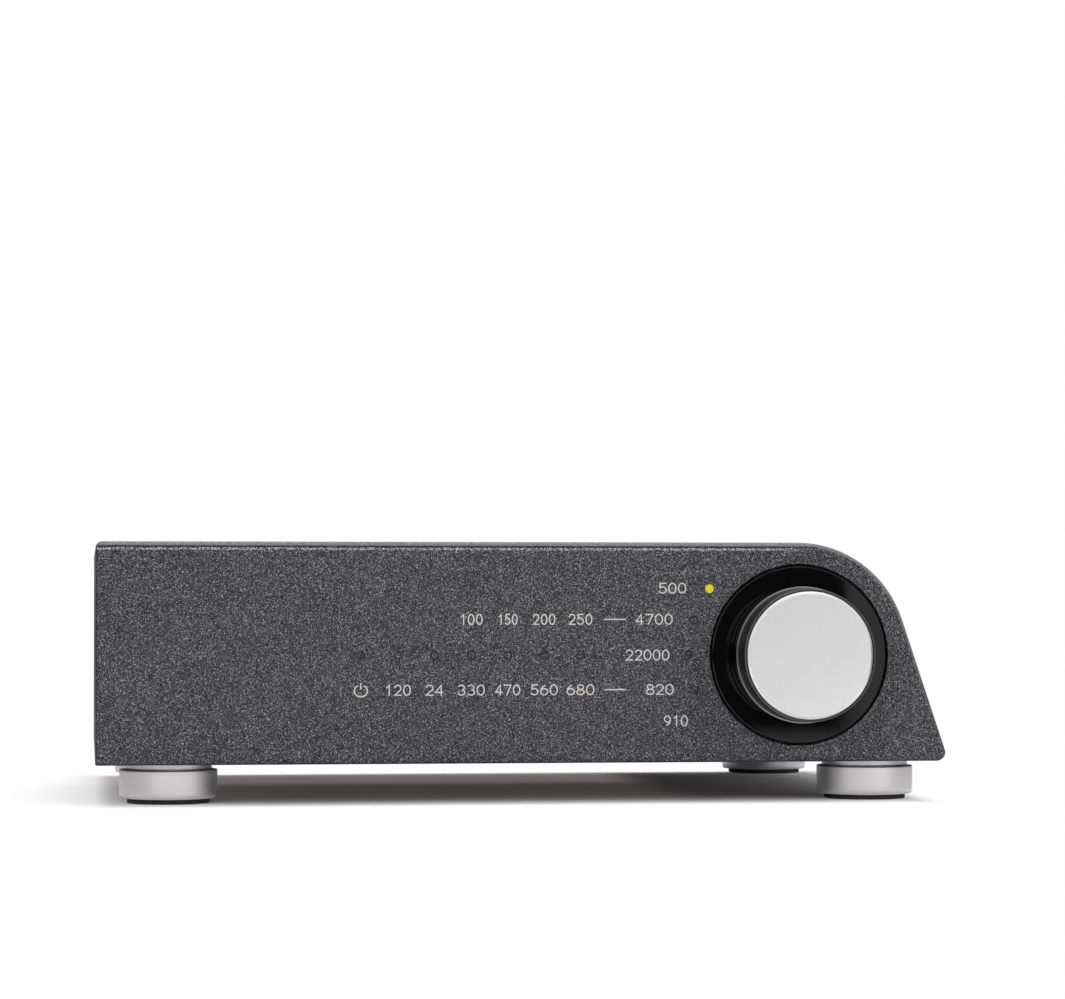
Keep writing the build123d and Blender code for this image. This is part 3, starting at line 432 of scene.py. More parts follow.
# Bands along the panel's edges: each runs from one distance to another, and moves the grain's value.
# They are painted light: under a painted highlight on the upper rim lie a line of painted shade and
# then a painted glint of bright grains; the lower and left edges get painted shade.
panelEdgeLight = {
    "upper": [(1.3, 1.85, -0.19), (1.95, 2.75, 0.20)],
    "lower": [(-1.0, 0.45, -0.18)],
    "left": [(-1.0, 0.40, -0.18)],
    "soft": 0.15,  # half the width of a band's borders
    "onFace": (1.0, 1.8),  # behind the panel's face, where the bands fade
    # the upper rim's painted highlight: where it lies, the size of its lumps, and its tones
    "rim": (-1.0, 1.3), "rimHighlightSize": 0.9, "rimHighlightAndShadeTones": ((0.110, 0.110, 0.112), (0.205, 0.205, 0.208)),
    # on the shoulder, from the left side, the upper bands give way to a painted highlight on the
    # rounding alone
    "shoulder": (222.0, 240.0),
    "rounded": (0.10, 0.30),  # behind the panel's face, where that rim begins
    "recess": (31.0, 32.0),  # from the knob's axis, so that the recess stays dark
    "rise": (3.0, 14.0),  # it grows from this far above the lower edge to this far below the upper one
    "shoulderShare": 0.8,  # and how much of it there is from there on
}


# Fine sparkle coat: random grains with rare bright flecks, over soft lumps.
def powderGrain(finish, look):
    lumps = finish.noise(look["lumps"], detail=1.0)
    return finish.mean(finish.cells(look["grain"]), lumps, look["lumpShare"])


def powderTone(finish, grain, look):
    tones = [look[tone] for tone in ("dark", "middle", "pale", "fleck")]
    return finish.ramp(grain, look["steps"], tones)


# 1 between two distances, with soft borders
def band(finish, distance, low, high, soft):
    rise = finish.spread(distance, 0.0, 1.0, (low - soft) * mm, (low + soft) * mm)
    fall = finish.spread(distance, 1.0, 0.0, (high - soft) * mm, (high + soft) * mm)
    return finish.maths("MULTIPLY", rise, fall)


# The grain's value is moved before it is coloured, so the painted shade and highlight bands keep the
# coat's own grains.
def grainWithLightBands(finish, grain, edge, distances, depth, shoulder):
    start, end = edge["onFace"]
    onFace = finish.spread(depth, 1.0, 0.0, start * mm, end * mm)
    beforeShoulder = finish.product(onFace, finish.spread(shoulder, 1.0, 0.0))
    for side, distance in distances.items():
        reach = beforeShoulder if side == "upper" else onFace
        for low, high, shift in edge[side]:
            within = band(finish, distance, low, high, edge["soft"])
            grain = finish.maths("ADD", grain, finish.product(within, reach, shift))
    return grain


# Share of the rim's painted highlight: all of it along the upper edge, and on the shoulder where the
# surface lies behind the face, outside the knob's recess, and less of it the lower down.
def rimHighlightShare(finish, edge, distances, depth, shoulder):
    straight = band(finish, distances["upper"], *edge["rim"], edge["soft"])
    across = finish.maths("SUBTRACT", finish.along("X"), knobAxis.x)
    upwards = finish.maths("SUBTRACT", finish.along("Z"), knobAxis.z)
    squares = (finish.maths("MULTIPLY", offset, offset) for offset in (across, upwards))
    fromKnob = finish.maths("SQRT", finish.maths("ADD", *squares))
    outOfRecess = finish.spread(fromKnob, 0.0, 1.0, *(radius * mm for radius in edge["recess"]))
    rounded = finish.spread(depth, 0.0, 1.0, *(reach * mm for reach in edge["rounded"]))
    start, end = edge["rise"]
    top = panelHigh.z - panelLow.z - end * mm
    rising = finish.spread(distances["lower"], 0.0, edge["shoulderShare"], start * mm, top)
    return finish.maths("MAXIMUM", straight, finish.product(rising, outOfRecess, rounded, shoulder))


# The coat's tone with painted shade and painted highlights along the panel's edges.
def edgeLitTone(finish, grain, look, edge):
    depth = finish.maths("SUBTRACT", finish.along("Y"), panelFace)
    distances = {
        "upper": finish.maths("SUBTRACT", panelHigh.z, finish.along("Z")),
        "lower": finish.maths("SUBTRACT", finish.along("Z"), panelLow.z),
        "left": finish.maths("SUBTRACT", finish.along("X"), leftSide),
    }
    shoulder = finish.spread(distances["left"], 0.0, 1.0, *(place * mm for place in edge["shoulder"]))
    grain = grainWithLightBands(finish, grain, edge, distances, depth, shoulder)
    # the painted highlight on the rim
    rim = finish.ramp(finish.noise(edge["rimHighlightSize"]), noiseRange, edge["rimHighlightAndShadeTones"])
    share = rimHighlightShare(finish, edge, distances, depth, shoulder)
    return finish.blend(powderTone(finish, grain, look), rim, share)


def powderCoat(name, look, edge=None):
    finish = Finish(name, Specular_IOR_Level=look["specular"])
    grain = powderGrain(finish, look)
    tone = edgeLitTone(finish, grain, look, edge) if edge else powderTone(finish, grain, look)
    finish.feed("Base Color", tone)
    finish.feed("Roughness", finish.spread(grain, *look["roughness"], *noiseRange))
    finish.bump(grain, look["relief"], look["reliefStrength"])
    return finish.material


lensLook = {
    "rim": (0.10, 0.16),  # behind the panel's face, where the sunken rim begins
    # painted shade for the sunken rim: its tones and where they lie on the grain's value
    "rimHighlightAndShadeTones": ((0.010, 0.010, 0.011), (0.065, 0.065, 0.070)), "rimShadeRange": (0.2, 0.8),
    "roughness": (0.5, 0.35),
}


# Indicator lens: its raised middle is coated like the panel, and its sunken rim gets painted shade.
def smokedLens(name, look):
    finish = Finish(name, Specular_IOR_Level=look["specular"])
    grain = powderGrain(finish, look)
    depth = finish.maths("SUBTRACT", finish.along("Y"), panelFace)
    sunken = finish.spread(depth, 0.0, 1.0, *(reach * mm for reach in lensLook["rim"]))
    # painted shade in the sunken rim
    dark = finish.ramp(grain, lensLook["rimShadeRange"], lensLook["rimHighlightAndShadeTones"])
    finish.feed("Base Color", finish.blend(powderTone(finish, grain, look), dark, sunken))
    finish.feed("Roughness", finish.spread(grain, *lensLook["roughness"], *noiseRange))
    return finish.material


litLook = {
    "colour": (0.24, 0.20, 0.01, 1), "roughness": 0.25,
    "glow": 0.75, "glows": ((0.54, 0.42, 0.006), (0.66, 0.54, 0.010)), "lumps": 0.6,
}


# Yellow lens lit from behind.
def litLens(name, look):
    finish = Finish(
        name, Base_Color=look["colour"], Roughness=look["roughness"], Emission_Strength=look["glow"])
    glow = finish.ramp(finish.noise(look["lumps"], detail=1.0), noiseRange, look["glows"])
    finish.feed("Emission Color", glow)
    return finish.material


metalLook = {"lumps": 0.35, "ringStretch": 0.01, "ringDetail": (2.0, 0.6), "relief": 0.001}
fineDetail = (3.0, 0.55)  # detail and roughness of a finish's noise
reliefStrength = 0.4


# Colour, gloss and relief follow one value.
def varied(finish, grain, tones, roughness, height):
    finish.feed("Base Color", finish.ramp(grain, noiseRange, tones))
    finish.feed("Roughness", finish.spread(grain, *roughness, *noiseRange))
    finish.bump(grain, height, reliefStrength)
    return finish.material


# Turned metal: fine rings, from a noise that changes along one axis only, over fine lumps.
def turnedMetal(name, dark, light, size, roughness, metallic=1.0, along="Y", grooves=0.5):
    finish = Finish(name, metallic)
    stretch = [1 if axis == along else metalLook["ringStretch"] for axis in "XYZ"]
    rings = finish.noise(size, *metalLook["ringDetail"], stretch)
    grain = finish.mean(finish.noise(metalLook["lumps"], *fineDetail), rings, grooves)
    return varied(finish, grain, (dark, light), roughness, metalLook["relief"])


# Plain finish with its own small variation, from one noise with lumps of the given size.
def grained(name, dark, light, size, roughness, metallic=0.0, height=0.004, **values):
    finish = Finish(name, metallic, **values)
    return varied(finish, finish.noise(size, *fineDetail), (dark, light), roughness, height)


# Each has a dark and a light colour, the size of its lumps, and its roughness where dark and light;
# then how metallic it is, and the height of its relief.
finishes = {
    "powder_coat": powderCoat("powderCoat", powder),
    # the front panel's coat, with painted highlights and shade along its edges
    "panel_coat": powderCoat("panelCoatLitEdges", powder, panelEdgeLight),
    "rear_coat": powderCoat("rearCoat", rearPowder),
    "base_coat": grained(
        "baseCoat", (0.022, 0.022, 0.024), (0.04, 0.04, 0.043), 0.8, (0.45, 0.6), height=0.02),
    "gloss_black": grained(
        "glossBlack", (0.0016, 0.0016, 0.0018), (0.0026, 0.0026, 0.003), 4.0, (0.02, 0.035),
        height=0.0005, IOR=1.40),
    "smoked_plastic": smokedLens("smokedLens", powder),
    "lit_plastic": litLens("litLens", litLook),
    "lamp_resin": grained("lampResin", (0.7, 0.68, 0.6), (0.8, 0.78, 0.7), 1.0, (0.2, 0.3)),
    "board_green": grained("boardGreen", (0.012, 0.075, 0.028), (0.02, 0.11, 0.04), 6.0, (0.3, 0.42)),
    "brass": grained("turnedBrass", (0.62, 0.46, 0.2), (0.75, 0.58, 0.3), 0.6, (0.25, 0.38), 1.0),
    "steel": grained("platedSteel", (0.5, 0.5, 0.51), (0.64, 0.64, 0.65), 1.2, (0.28, 0.42), 1.0),
    "black_steel": grained(
        "blackSteel", (0.015, 0.015, 0.016), (0.03, 0.03, 0.031), 0.5, (0.35, 0.5), 0.7),
    "cast_zinc": grained(
        "castZinc", (0.42, 0.42, 0.43), (0.55, 0.55, 0.56), 0.7, (0.4, 0.55), 1.0, 0.02),
    "black_plastic": grained(
        "blackPlastic", (0.013, 0.013, 0.014), (0.022, 0.022, 0.024), 0.35, (0.38, 0.52), height=0.012),
    "rubber": grained(
        "rubber", (0.012, 0.012, 0.012), (0.022, 0.022, 0.022), 0.5, (0.7, 0.85), height=0.02),
    "film_red": grained("filmRed", (0.36, 0.03, 0.02), (0.46, 0.05, 0.03), 3.0, (0.2, 0.3)),
    "relay_white": grained("relayWhite", (0.68, 0.68, 0.65), (0.76, 0.76, 0.73), 3.0, (0.3, 0.4)),
    "sleeve_blue": grained("sleeveBlue", (0.022, 0.05, 0.16), (0.035, 0.07, 0.22), 3.0, (0.22, 0.32)),
    "black_aluminium": grained(
        "blackAluminium", (0.02, 0.02, 0.022), (0.036, 0.036, 0.04), 0.6, (0.35, 0.45), 0.8),
    "winding_tape": grained(
        "windingTape", (0.6, 0.42, 0.08), (0.74, 0.55, 0.14), 2.0, (0.25, 0.4), height=0.03),
    "ribbon_grey": grained("ribbonGrey", (0.33, 0.33, 0.35), (0.42, 0.42, 0.44), 0.6, (0.4, 0.5)),
    "nickel": grained(
        "brightNickel", (0.66, 0.64, 0.60), (0.74, 0.72, 0.68), 1.0, (0.12, 0.2), 1.0, 0.001),
    "red_plastic": grained("redPlastic", (0.42, 0.015, 0.012), (0.52, 0.025, 0.02), 1.0, (0.25, 0.35)),
    "white_plastic": grained("whitePlastic", (0.72, 0.72, 0.7), (0.8, 0.8, 0.78), 1.0, (0.25, 0.35)),
    "mark_ink": grained(
        "markInk", (0.47, 0.44, 0.425), (0.55, 0.52, 0.50), 0.3, (0.5, 0.6), height=0.002),
    "foot_aluminium": turnedMetal(
        "footAluminium", (0.77, 0.745, 0.755), (0.83, 0.805, 0.815), 0.5, (0.42, 0.50),
        along="Z", grooves=0.4),
    # a darker copy of the foot aluminium: painted shade for the necks under the chassis
    "neck_aluminium": turnedMetal(
        "neckAluminiumShaded", (0.66, 0.645, 0.65), (0.72, 0.705, 0.71), 0.5, (0.36, 0.44), along="Z"),
    "dark_aluminium": turnedMetal(
        "darkAluminium", (0.055, 0.055, 0.058), (0.125, 0.125, 0.128), 0.8, (0.27, 0.34), 0.9,
        grooves=0.7),
    # paler copy of the grip's metal, for the ring that paints the highlight on the grip's edge
    "line_aluminium": turnedMetal(
        "lineHighlightAluminium", (0.22, 0.22, 0.225), (0.28, 0.28, 0.285), 0.5, (0.2, 0.26)),
    "cap_aluminium": grained(
        "capAluminium", (0.72, 0.715, 0.725), (0.77, 0.765, 0.775), 0.35, (0.32, 0.38), 1.0, 0.001),
}


# Each imported part gets the finish of its slot, and the front panel the one with painted highlights
# and shade along its edges.
def finishParts():
    slots = {entry["node"]: entry["material_slot"] for entry in frame["record"]["subparts"]}
    slots["front_panel"] = "panel_coat"
    for node, part in frame["nodes"].items():
        part.data.materials.clear()
        part.data.materials.append(finishes[slots[node]])


finishParts()
print("finishes ready:", len(finishes))


# Quads between neighbouring points of a grid, wrapped where the grid is closed.
def gridFaces(rows, columns, closeRows, closeColumns):
    row = np.arange(rows if closeRows else rows - 1)
    column = np.arange(columns if closeColumns else columns - 1)
    row, column = np.meshgrid(row, column, indexing="ij")
    below, beside = (row + 1) % rows * columns, (column + 1) % columns
    start = row * columns
    corners = [start + column, start + beside, below + beside, below + column]
    return np.stack(corners, -1).reshape(-1, 4)


mergeWithin = 1e-7  # metres
sharpFrom = 32  # degrees between faces that don't shade as one


# Several grids of the same kind become one mesh; poles and seams are merged, faces turned outwards.
def addPiece(name, surfaces, finish, body, replaced=()):
    points = np.concatenate([p for p, _ in surfaces])
    starts = np.cumsum([0] + [len(p) for p, _ in surfaces[:-1]])
    faces = np.concatenate([f + start for (_, f), start in zip(surfaces, starts)])
    mesh = bpy.data.meshes.new(name)
    mesh.from_pydata(points.tolist(), [], faces.tolist())
    work = bmesh.new()
    work.from_mesh(mesh)
    bmesh.ops.remove_doubles(work, verts=work.verts, dist=mergeWithin)
    bmesh.ops.recalc_face_normals(work, faces=work.faces)
    work.to_mesh(mesh)
    work.free()
    mesh.shade_smooth()
    mesh.set_sharp_from_angle(angle=math.radians(sharpFrom))
    mesh.materials.append(finishes[finish])
    piece = bpy.data.objects.new(name, mesh)
    bpy.context.scene.collection.objects.link(piece)
    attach(piece, body)
    if replaced:
        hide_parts(*replaced)


softening = {
    "limit": 0.42,  # most that a curve takes of a side
    "hold": 1.15,  # setback of the points that hold the flats, in setbacks of the curve
    "holdLimit": 0.47,  # and the most that they take of a side
}


# Each corner of a profile becomes a parabola between two points set back from it, in millimetres.
# One more point just beyond each end of the curve keeps the flats flat under smooth shading.
def softened(corners, setback, steps=4):
    points = np.array(corners, float)
    limits = np.broadcast_to(np.array(setback, float), len(points))[:, None]
    hold, holdLimit = softening["hold"], softening["holdLimit"]

    def towards(others, times, most):
        way = others - points
        length = np.linalg.norm(way, axis=1, keepdims=True)
        return points + way / length * np.minimum(limits * times, most * length)

    before, after = np.roll(points, 1, 0), np.roll(points, -1, 0)
    start, end = towards(before, 1, softening["limit"]), towards(after, 1, softening["limit"])
    t = np.linspace(0, 1, steps + 1)[None, :, None]
    curve = (1 - t) ** 2 * start[:, None] + 2 * t * (1 - t) * points[:, None] + t ** 2 * end[:, None]
    held = [towards(before, hold, holdLimit)[:, None], curve, towards(after, hold, holdLimit)[:, None]]
    return np.concatenate(held, 1).reshape(-1, 2)


turningAxes = {  # across, upwards and outwards of a turned surface
    "front": ((1, 0, 0), (0, 0, 1), (0, -1, 0)),
    "rear": ((-1, 0, 0), (0, 0, 1), (0, 1, 0)),
    "up": ((1, 0, 0), (0, 1, 0), (0, 0, 1)),
}


# A profile of (radius, height) spun about an axis: point = origin + radius (cos, sin) + height along.
# A thread takes a helical triangle wave, as deep as its profile row says, off the radius.
def turned(profile, origin, facing, steps=96, closed=True, threadDepth=None, pitch=1.0):
    angle = np.linspace(0, 2 * math.pi, steps, endpoint=False)[None, :]
    radius, height = profile[:, :1], profile[:, 1:]
    reach = np.broadcast_to(radius, (len(profile), steps)).copy()
    if threadDepth is not None:
        reach -= threadDepth[:, None] * np.abs(((height / pitch - angle / (2 * math.pi)) % 1) * 2 - 1)
    across, upwards, outwards = (np.array(v, float) for v in turningAxes[facing])
    points = (
        np.array(origin, float)
        + (reach * np.cos(angle))[..., None] * mm * across
        + (reach * np.sin(angle))[..., None] * mm * upwards
        + np.broadcast_to(height, reach.shape)[..., None] * mm * outwards
    )
    return points.reshape(-1, 3), gridFaces(len(profile), steps, closed, True)


knob = {  # radii, and distances in front of the panel
    "ringOuter": 29.45, "ringInner": 18.5, "ringBack": -3.2, "ringBevel": 0.5,
    "lift": 1.1, "skirtEnd": 6.55, "spigotEnd": 9.55,
    "skirt": 22.25, "skirtDraft": 0.1, "spigot": 19.1, "spigotBore": 17.6,
    "gripBase": 22.05, "gripNose": 21.70, "gripEnd": 17.3, "pocket": 19.15, "pocketFloor": 13.0,
    "line": 22.42, "lineHeight": 0.55, "lineSunk": 0.5,
    "boss": 8.9, "hubBore": 6.05, "hubStart": 1.6, "hubEnd": 13.8,
    "cap": 20.9, "capBack": 15.9, "reach": 18.0, "capBevel": 0.85, "capDrop": 0.67, "capStep": 0.07,
    "capGap": 0.33, "gapDepth": 0.9, "capPlay": 0.05,
    "steps": 192,
}


# One turned piece on the knob's axis, from the corners of its profile and their setbacks.
def addRound(name, corners, setback, finish, body="knob", replaced=(), closed=True):
    surface = turned(softened(corners, setback), knobAxis, "front", knob["steps"], closed)
    addPiece(name, [surface], finish, body, replaced)


# From the panel outwards: flat ring, skirt, grip, a pale ring at its foot as a painted highlight, and
# cap.
def addKnob(k):
    addRound("knobRing", [
        (k["ringInner"], k["ringBack"]), (k["ringOuter"], k["ringBack"]),
        (k["ringOuter"], -k["ringBevel"]), (k["ringOuter"] - k["ringBevel"], 0), (k["ringInner"], 0),
    ], (0.1, 0.1, 0.12, 0.15, 0.2), "gloss_black", "chassis", ["knob_bezel"])
    addRound("knobSkirt", [
        (k["spigotBore"], k["lift"]), (k["skirt"], k["lift"]),
        (k["skirt"] - k["skirtDraft"], k["skirtEnd"]), (k["spigot"], k["skirtEnd"]),
        (k["spigot"], k["spigotEnd"]), (k["spigotBore"], k["spigotEnd"]),
    ], (0.2, 0.25, 0.3, 0.02, 0.2, 0.2), "gloss_black", replaced=["knob_skirt"])
    gapSide, gapFloor = k["cap"] + k["capGap"], k["gripEnd"] - k["gapDepth"]
    seat = k["cap"] + k["capPlay"]
    addRound("knobGrip", [
        (0, k["hubEnd"]), (k["hubBore"], k["hubEnd"]), (k["hubBore"], k["hubStart"]),
        (k["boss"], k["hubStart"]), (k["boss"], k["pocketFloor"]), (k["pocket"], k["pocketFloor"]),
        (k["pocket"], k["skirtEnd"]), (k["gripBase"], k["skirtEnd"]), (k["gripNose"], k["gripEnd"]),
        (gapSide, k["gripEnd"]), (gapSide, gapFloor), (seat, gapFloor),
        (seat, k["capBack"]), (0, k["capBack"]),
    ], (0, 0.1, 0.2, 0.2, 0.4, 0.4, 0.1, 0.04, 0.30, 0.06, 0.05, 0.05, 0.1, 0),
        "dark_aluminium", replaced=["knob_grip"], closed=False)
    # a pale ring at the grip's foot: a painted highlight of its edge
    lineInner, lineEnd = k["gripBase"] - k["lineSunk"], k["skirtEnd"] + k["lineHeight"]
    addRound("knobHighlightLine", [
        (lineInner, k["skirtEnd"]), (k["line"], k["skirtEnd"]),
        (k["line"], lineEnd), (lineInner, lineEnd),
    ], (0.05, 0.04, 0.22, 0.05), "line_aluminium")
    bevelled = k["cap"] - k["capBevel"]
    addRound("knobCap", [
        (0, k["capBack"]), (k["cap"], k["capBack"]), (k["cap"], k["reach"] - k["capDrop"]),
        (bevelled, k["reach"] - k["capStep"]), (bevelled, k["reach"]), (0, k["reach"]),
    ], (0, 0.1, 0.35, 0.03, 0.05, 0), "cap_aluminium", replaced=["knob_cap"], closed=False)


addKnob(knob)
print("knob ready")


feet = {  # radii and heights above the standing surface
    "neck": 14.35, "neckLow": 11.31, "neckHigh": 13.31, "bore": 2.55,
    "body": 16.1, "bodyLow": 1.65, "bodyHigh": 11.05, "lowerEdge": 1.8, "upperEdge": 0.45,
    "waist": 13.15, "step": 11.31, "seat": 13.65, "seatDepth": 1.3, "well": 5.0, "wellFloor": 5.55,
    "pad": 13.6, "padEdge": 0.6,
    "bodySteps": 128, "edgeSteps": 6,
}


# The four feet stand in the corners of the box round the foot bodies.
def footPlaces(f):
    low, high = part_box("foot_bodies")
    inset = f["body"] * mm
    return [(x, y, 0) for x in (low.x + inset, high.x - inset) for y in (low.y + inset, high.y - inset)]


# Each foot is a short neck, a turned body hollow from below, and a pad in the body's seat.
def addFeet(f):
    places = footPlaces(f)
    seatTop = f["bodyLow"] + f["seatDepth"]
    neck = softened([
        (f["bore"], f["neckLow"]), (f["neck"], f["neckLow"]),
        (f["neck"], f["neckHigh"]), (f["bore"], f["neckHigh"]),
    ], (0.1, 0.3, 0.02, 0.1))
    body = softened([
        (f["bore"], f["wellFloor"]), (f["well"], f["wellFloor"]), (f["well"], seatTop),
        (f["seat"], seatTop), (f["seat"], f["bodyLow"]),
        (f["body"], f["bodyLow"]), (f["body"], f["bodyHigh"]),
        (f["waist"], f["bodyHigh"]), (f["waist"], f["step"]), (f["bore"], f["step"]),
    ], (0.1, 0.1, 0.1, 0.1, 0.1, f["lowerEdge"], f["upperEdge"], 0.05, 0.05, 0.1), f["edgeSteps"])
    pad = softened([
        (0, 0), (f["pad"], 0), (f["pad"], seatTop), (0, seatTop),
    ], (0, f["padEdge"], 0.1, 0))
    necks = [turned(neck, place, "up") for place in places]
    bodies = [turned(body, place, "up", f["bodySteps"]) for place in places]
    pads = [turned(pad, place, "up", closed=False) for place in places]
    addPiece("footNecks", necks, "neck_aluminium", "chassis", ["foot_necks"])
    addPiece("footBodies", bodies, "foot_aluminium", "chassis", ["foot_bodies"])
    addPiece("footPads", pads, "rubber", "chassis", ["foot_pads"])


addFeet(feet)
print("feet ready")


marks = {  # plain numbers printed beside the indicators
    "height": 3.6, "stroke": 0.40, "gap": 0.85, "symbolExtra": 0.9,
    "thickness": 0.03, "layerStep": 0.01,
    "first": 85.5, "pitch": 12.0,  # first column and the distance between columns, from the left side
    "columns": {  # height above the knob's axis: (what, column, width)
        11.7: [("100", 3, 7.6), ("150", 4, 6.6), ("200", 5, 7.4), ("250", 6, 7.9)],
        -11.3: [("power", 0, 4.6), ("120", 1, 8.6), ("24", 2, 6.0), ("330", 3, 9.0), ("470", 4, 8.3),
                ("560", 5, 9.0), ("680", 6, 9.2)],
    },
    "beside": [  # (what, height above the knob's axis, centre from the left side, width)
        ("500", 21.9, 188.0, 9.2), ("-", 11.7, 168.9, 7.3), ("4700", 11.7, 181.9, 12.4),
        ("22000", 0.0, 179.7, 14.6), ("-", -11.3, 169.1, 7.1), ("820", -11.3, 183.8, 9.2),
        ("910", -21.6, 189.1, 8.0),
    ],
}

inkStroke = {
    "sharpest": 0.45,  # least cosine at a mitre, past which it is cut short
    "endSteps": 6, "endStop": 15.0,  # rows of a round end, and the degrees that its last row leaves out
    "samePoint": 1e-6, "sameEnd": 1e-3,  # distances below which two points, or two ends, are one
}


# Points of an ellipse's arc between two angles in degrees.
def arc(cx, cy, rx, ry, start=0, end=360, steps=14):
    t = np.radians(np.linspace(start, end, steps))
    return np.stack([cx + rx * np.cos(t), cy + ry * np.sin(t)], 1)


# Strokes of each digit in a box one wide and one high; a closed stroke ends where it starts.
def digitStrokes():
    loop = arc(0.5, 0.31, 0.5, 0.31, steps=33)
    stem = arc(1.0, 0.31, 1.0, 0.69, 112, 180)
    twoTop = arc(0.5, 0.70, 0.47, 0.30, 165, -38)
    threeTop = arc(0.48, 0.745, 0.42, 0.255, 145, -78)
    threeFoot = arc(0.48, 0.255, 0.50, 0.255, 78, -148)
    fiveFoot = arc(0.46, 0.32, 0.52, 0.32, 122, -148)
    return {
        "0": [arc(0.5, 0.5, 0.5, 0.5, steps=41)],
        "1": [np.array([(0.22, 0.76), (0.62, 1.0), (0.62, 0.0)])],
        "2": [np.concatenate([twoTop, [(0.04, 0.0), (1.0, 0.0)]])],
        "3": [np.concatenate([threeTop, threeFoot])],
        "4": [np.array([(0.74, 0.0), (0.74, 1.0), (0.0, 0.28)]), np.array([(0.0, 0.28), (1.0, 0.28)])],
        "5": [np.concatenate([[(0.92, 1.0), (0.16, 1.0), (0.10, 0.56)], fiveFoot])],
        "6": [loop, stem],
        "7": [np.array([(0.0, 1.0), (1.0, 1.0), (0.36, 0.0)])],
        "8": [arc(0.5, 0.76, 0.40, 0.24, steps=33), arc(0.5, 0.26, 0.5, 0.26, steps=33)],
        "9": [1 - loop, 1 - stem],
        "-": [np.array([(0.0, 0.5), (1.0, 0.5)])],
        "power": [arc(0.5, 0.46, 0.5, 0.46, 122, 418, 33), np.array([(0.5, 1.06), (0.5, 0.62)])],
    }


# Each vector divided by its length.
def unit(vectors):
    return vectors / np.linalg.norm(vectors, axis=1, keepdims=True)


# A ribbon along a line: half the stroke to each side, mitred at corners, with round ends.
def ribbon(line, stroke, thickness):
    moved = np.linalg.norm(np.diff(line, axis=0), axis=1) > inkStroke["samePoint"]
    line = line[np.r_[True, moved]]
    closed = np.linalg.norm(line[0] - line[-1]) < inkStroke["sameEnd"]
    half = stroke / 2
    if closed:
        line = line[:-1]
        before, after = unit(line - np.roll(line, 1, 0)), unit(np.roll(line, -1, 0) - line)
    else:
        steps = unit(np.diff(line, axis=0))
        before, after = np.vstack([steps[:1], steps]), np.vstack([steps, steps[-1:]])
    middle = unit(before + after)
    sideways = np.stack([-middle[:, 1], middle[:, 0]], 1)
    mitre = half / np.clip((before * middle).sum(1), inkStroke["sharpest"], 1)
    if not closed:
        # round ends: beyond each end the ribbon narrows along a quarter circle
        rows = inkStroke["endSteps"]
        turn = np.radians(np.linspace(90, inkStroke["endStop"], rows))[:, None]
        first = line[0] - before[0] * half * np.sin(turn)
        last = (line[-1] + after[-1] * half * np.sin(turn))[::-1]
        line = np.vstack([first, line, last])
        ends = half * np.cos(turn[:, 0])
        mitre = np.concatenate([ends, mitre, ends[::-1]])
        atStart, atEnd = np.repeat(sideways[:1], rows, 0), np.repeat(sideways[-1:], rows, 0)
        sideways = np.vstack([atStart, sideways, atEnd])
    left, right = line + sideways * mitre[:, None], line - sideways * mitre[:, None]
    base, face = np.zeros(len(line)), np.full(len(line), thickness)
    around = ((left, base), (right, base), (right, face), (left, face))
    section = np.stack([np.column_stack([edge, level]) for edge, level in around], 1)
    return section.reshape(-1, 3), gridFaces(len(line), len(around), closed, True)


# The ribbons of one number or symbol, centred on a place of the panel's face.
def printedWord(word, level, centre, width, m, shapes):
    glyphs = [word] if word in shapes else list(word)
    tall = m["height"] - m["stroke"] + (m["symbolExtra"] if word == "power" else 0)
    high = 0.0 if word == "-" else tall
    usable = width - m["stroke"]
    wide = (usable - m["gap"] * (len(glyphs) - 1)) / len(glyphs)
    surfaces = []
    for i, glyph in enumerate(glyphs):
        start = centre - usable / 2 + i * (wide + m["gap"])
        # crossing strokes differ in thickness, so that no two faces share a plane
        for layer, stroke in enumerate(shapes[glyph]):
            line = np.column_stack([start + stroke[:, 0] * wide, level + (stroke[:, 1] - 0.5) * high])
            flat, faces = ribbon(line, m["stroke"], m["thickness"] - m["layerStep"] * layer)
            across = leftSide + flat[:, 0] * mm
            upwards = knobAxis.z + flat[:, 1] * mm
            surfaces.append((np.column_stack([across, panelFace - flat[:, 2] * mm, upwards]), faces))
    return surfaces


# Marks on the columns of the two rows, and single ones beside the other indicators.
def addMarks(m):
    shapes = digitStrokes()
    places = [
        (word, level, m["first"] + m["pitch"] * column, width)
        for level, row in m["columns"].items() for word, column, width in row
    ] + m["beside"]
    surfaces = []
    for place in places:
        surfaces += printedWord(*place, m, shapes)
    addPiece("printedMarks", surfaces, "mark_ink", "chassis")


addMarks(marks)
print("marks ready")


post = {  # radii, and distances behind the rear panel's face
    "stud": 2.0, "studStart": -8.8, "studEnd": 15.0, "studEdge": 0.4,
    "flange": 5.5, "flangeHeight": 2.0, "flangeEdge": 0.4,
    "pitch": 0.7, "depth": 0.3, "runOut": 0.5,
    "rowsPerTurn": 10, "steps": 48,
}


# Rows of (radius, height, thread's depth); the thread grows from nothing and ends in nothing.
def threadRows(p, start, end):
    heights = np.arange(start, end, p["pitch"] / p["rowsPerTurn"])
    nearest = np.minimum(heights - heights[0], heights[-1] - heights)
    depths = p["depth"] * np.clip(nearest / p["runOut"], 0, 1)
    return np.column_stack([np.full(len(heights), p["stud"]), heights, depths])


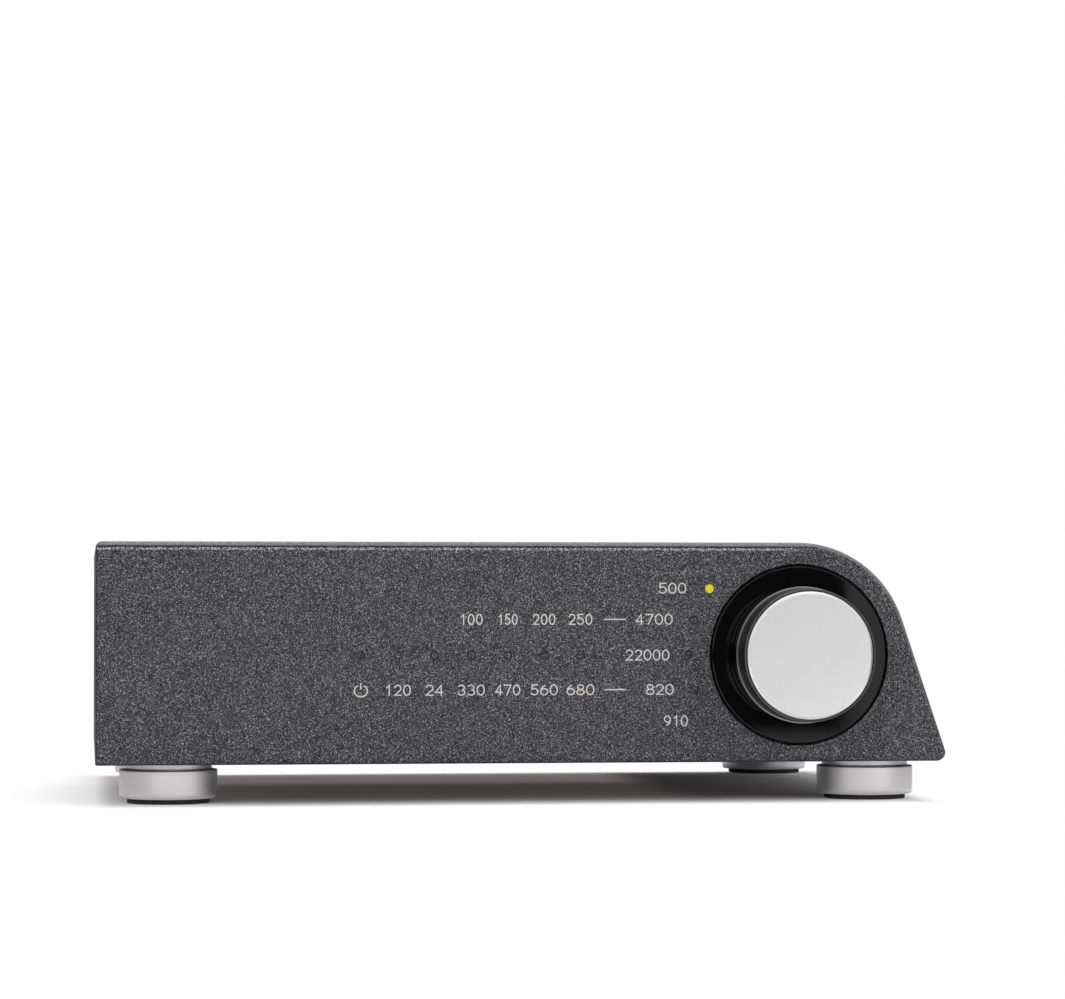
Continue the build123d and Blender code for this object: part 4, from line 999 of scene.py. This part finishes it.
# A stud through the rear panel, threaded on both sides of its flange.
def addPost(p):
    middle, tip = middleOf("ground_post"), p["stud"] - p["studEdge"]
    rows = np.concatenate([
        [(0, p["studStart"], 0), (tip, p["studStart"], 0)],
        threadRows(p, p["studStart"] + p["studEdge"], 0),
        [(p["flange"], 0, 0), (p["flange"], p["flangeHeight"] - p["flangeEdge"], 0),
         (p["flange"] - p["flangeEdge"], p["flangeHeight"], 0)],
        threadRows(p, p["flangeHeight"], p["studEnd"] - p["studEdge"]),
        [(tip, p["studEnd"], 0), (0, p["studEnd"], 0)],
    ])
    place = (middle.x, rearFace, middle.z)
    surface = turned(rows[:, :2], place, "rear", p["steps"], False, rows[:, 2], p["pitch"])
    addPiece("groundPost", [surface], "nickel", "chassis", ["ground_post"])


addPost(post)
print("ground post ready")


rockerMarks = {
    "pivotDepth": 1.5, "tilt": 9.0,  # degrees
    "middle": 4.0, "crest": 5.2, "half": 7.6,  # pivot to the face's middle and ends, and their spacing
    "place": 4.4, "line": 2.6, "circle": 2.8, "stroke": 0.42, "thickness": 0.03,
}


# A line and a circle on the two slopes of the rocker's dished face, turned with it about its pivot.
def addRockerMarks(r):
    middle = middleOf("power_rocker")
    length = math.hypot(r["half"], r["crest"] - r["middle"])
    rise, run = (r["crest"] - r["middle"]) / length, r["half"] / length
    turn = math.radians(r["tilt"])
    reach = r["circle"] / 2
    line = np.array([(0.0, -r["line"] / 2), (0.0, r["line"] / 2)])
    surfaces = []
    for side, shape in ((1, line), (-1, arc(0, 0, reach, reach, steps=41))):
        flat, faces = ribbon(shape, r["stroke"], r["thickness"])
        along = r["place"] + flat[:, 1]
        out = r["middle"] + along * rise + flat[:, 2] * run
        up = side * (along * run - flat[:, 2] * rise)
        points = np.column_stack([
            middle.x + flat[:, 0] * mm,
            rearFace + (out * math.cos(turn) - up * math.sin(turn) - r["pivotDepth"]) * mm,
            middleOf("rocker_frame").z + (out * math.sin(turn) + up * math.cos(turn)) * mm,
        ])
        surfaces.append((points, faces))
    addPiece("rockerMarks", surfaces, "mark_ink", "switch_rocker")


addRockerMarks(rockerMarks)
print("rocker marks ready")
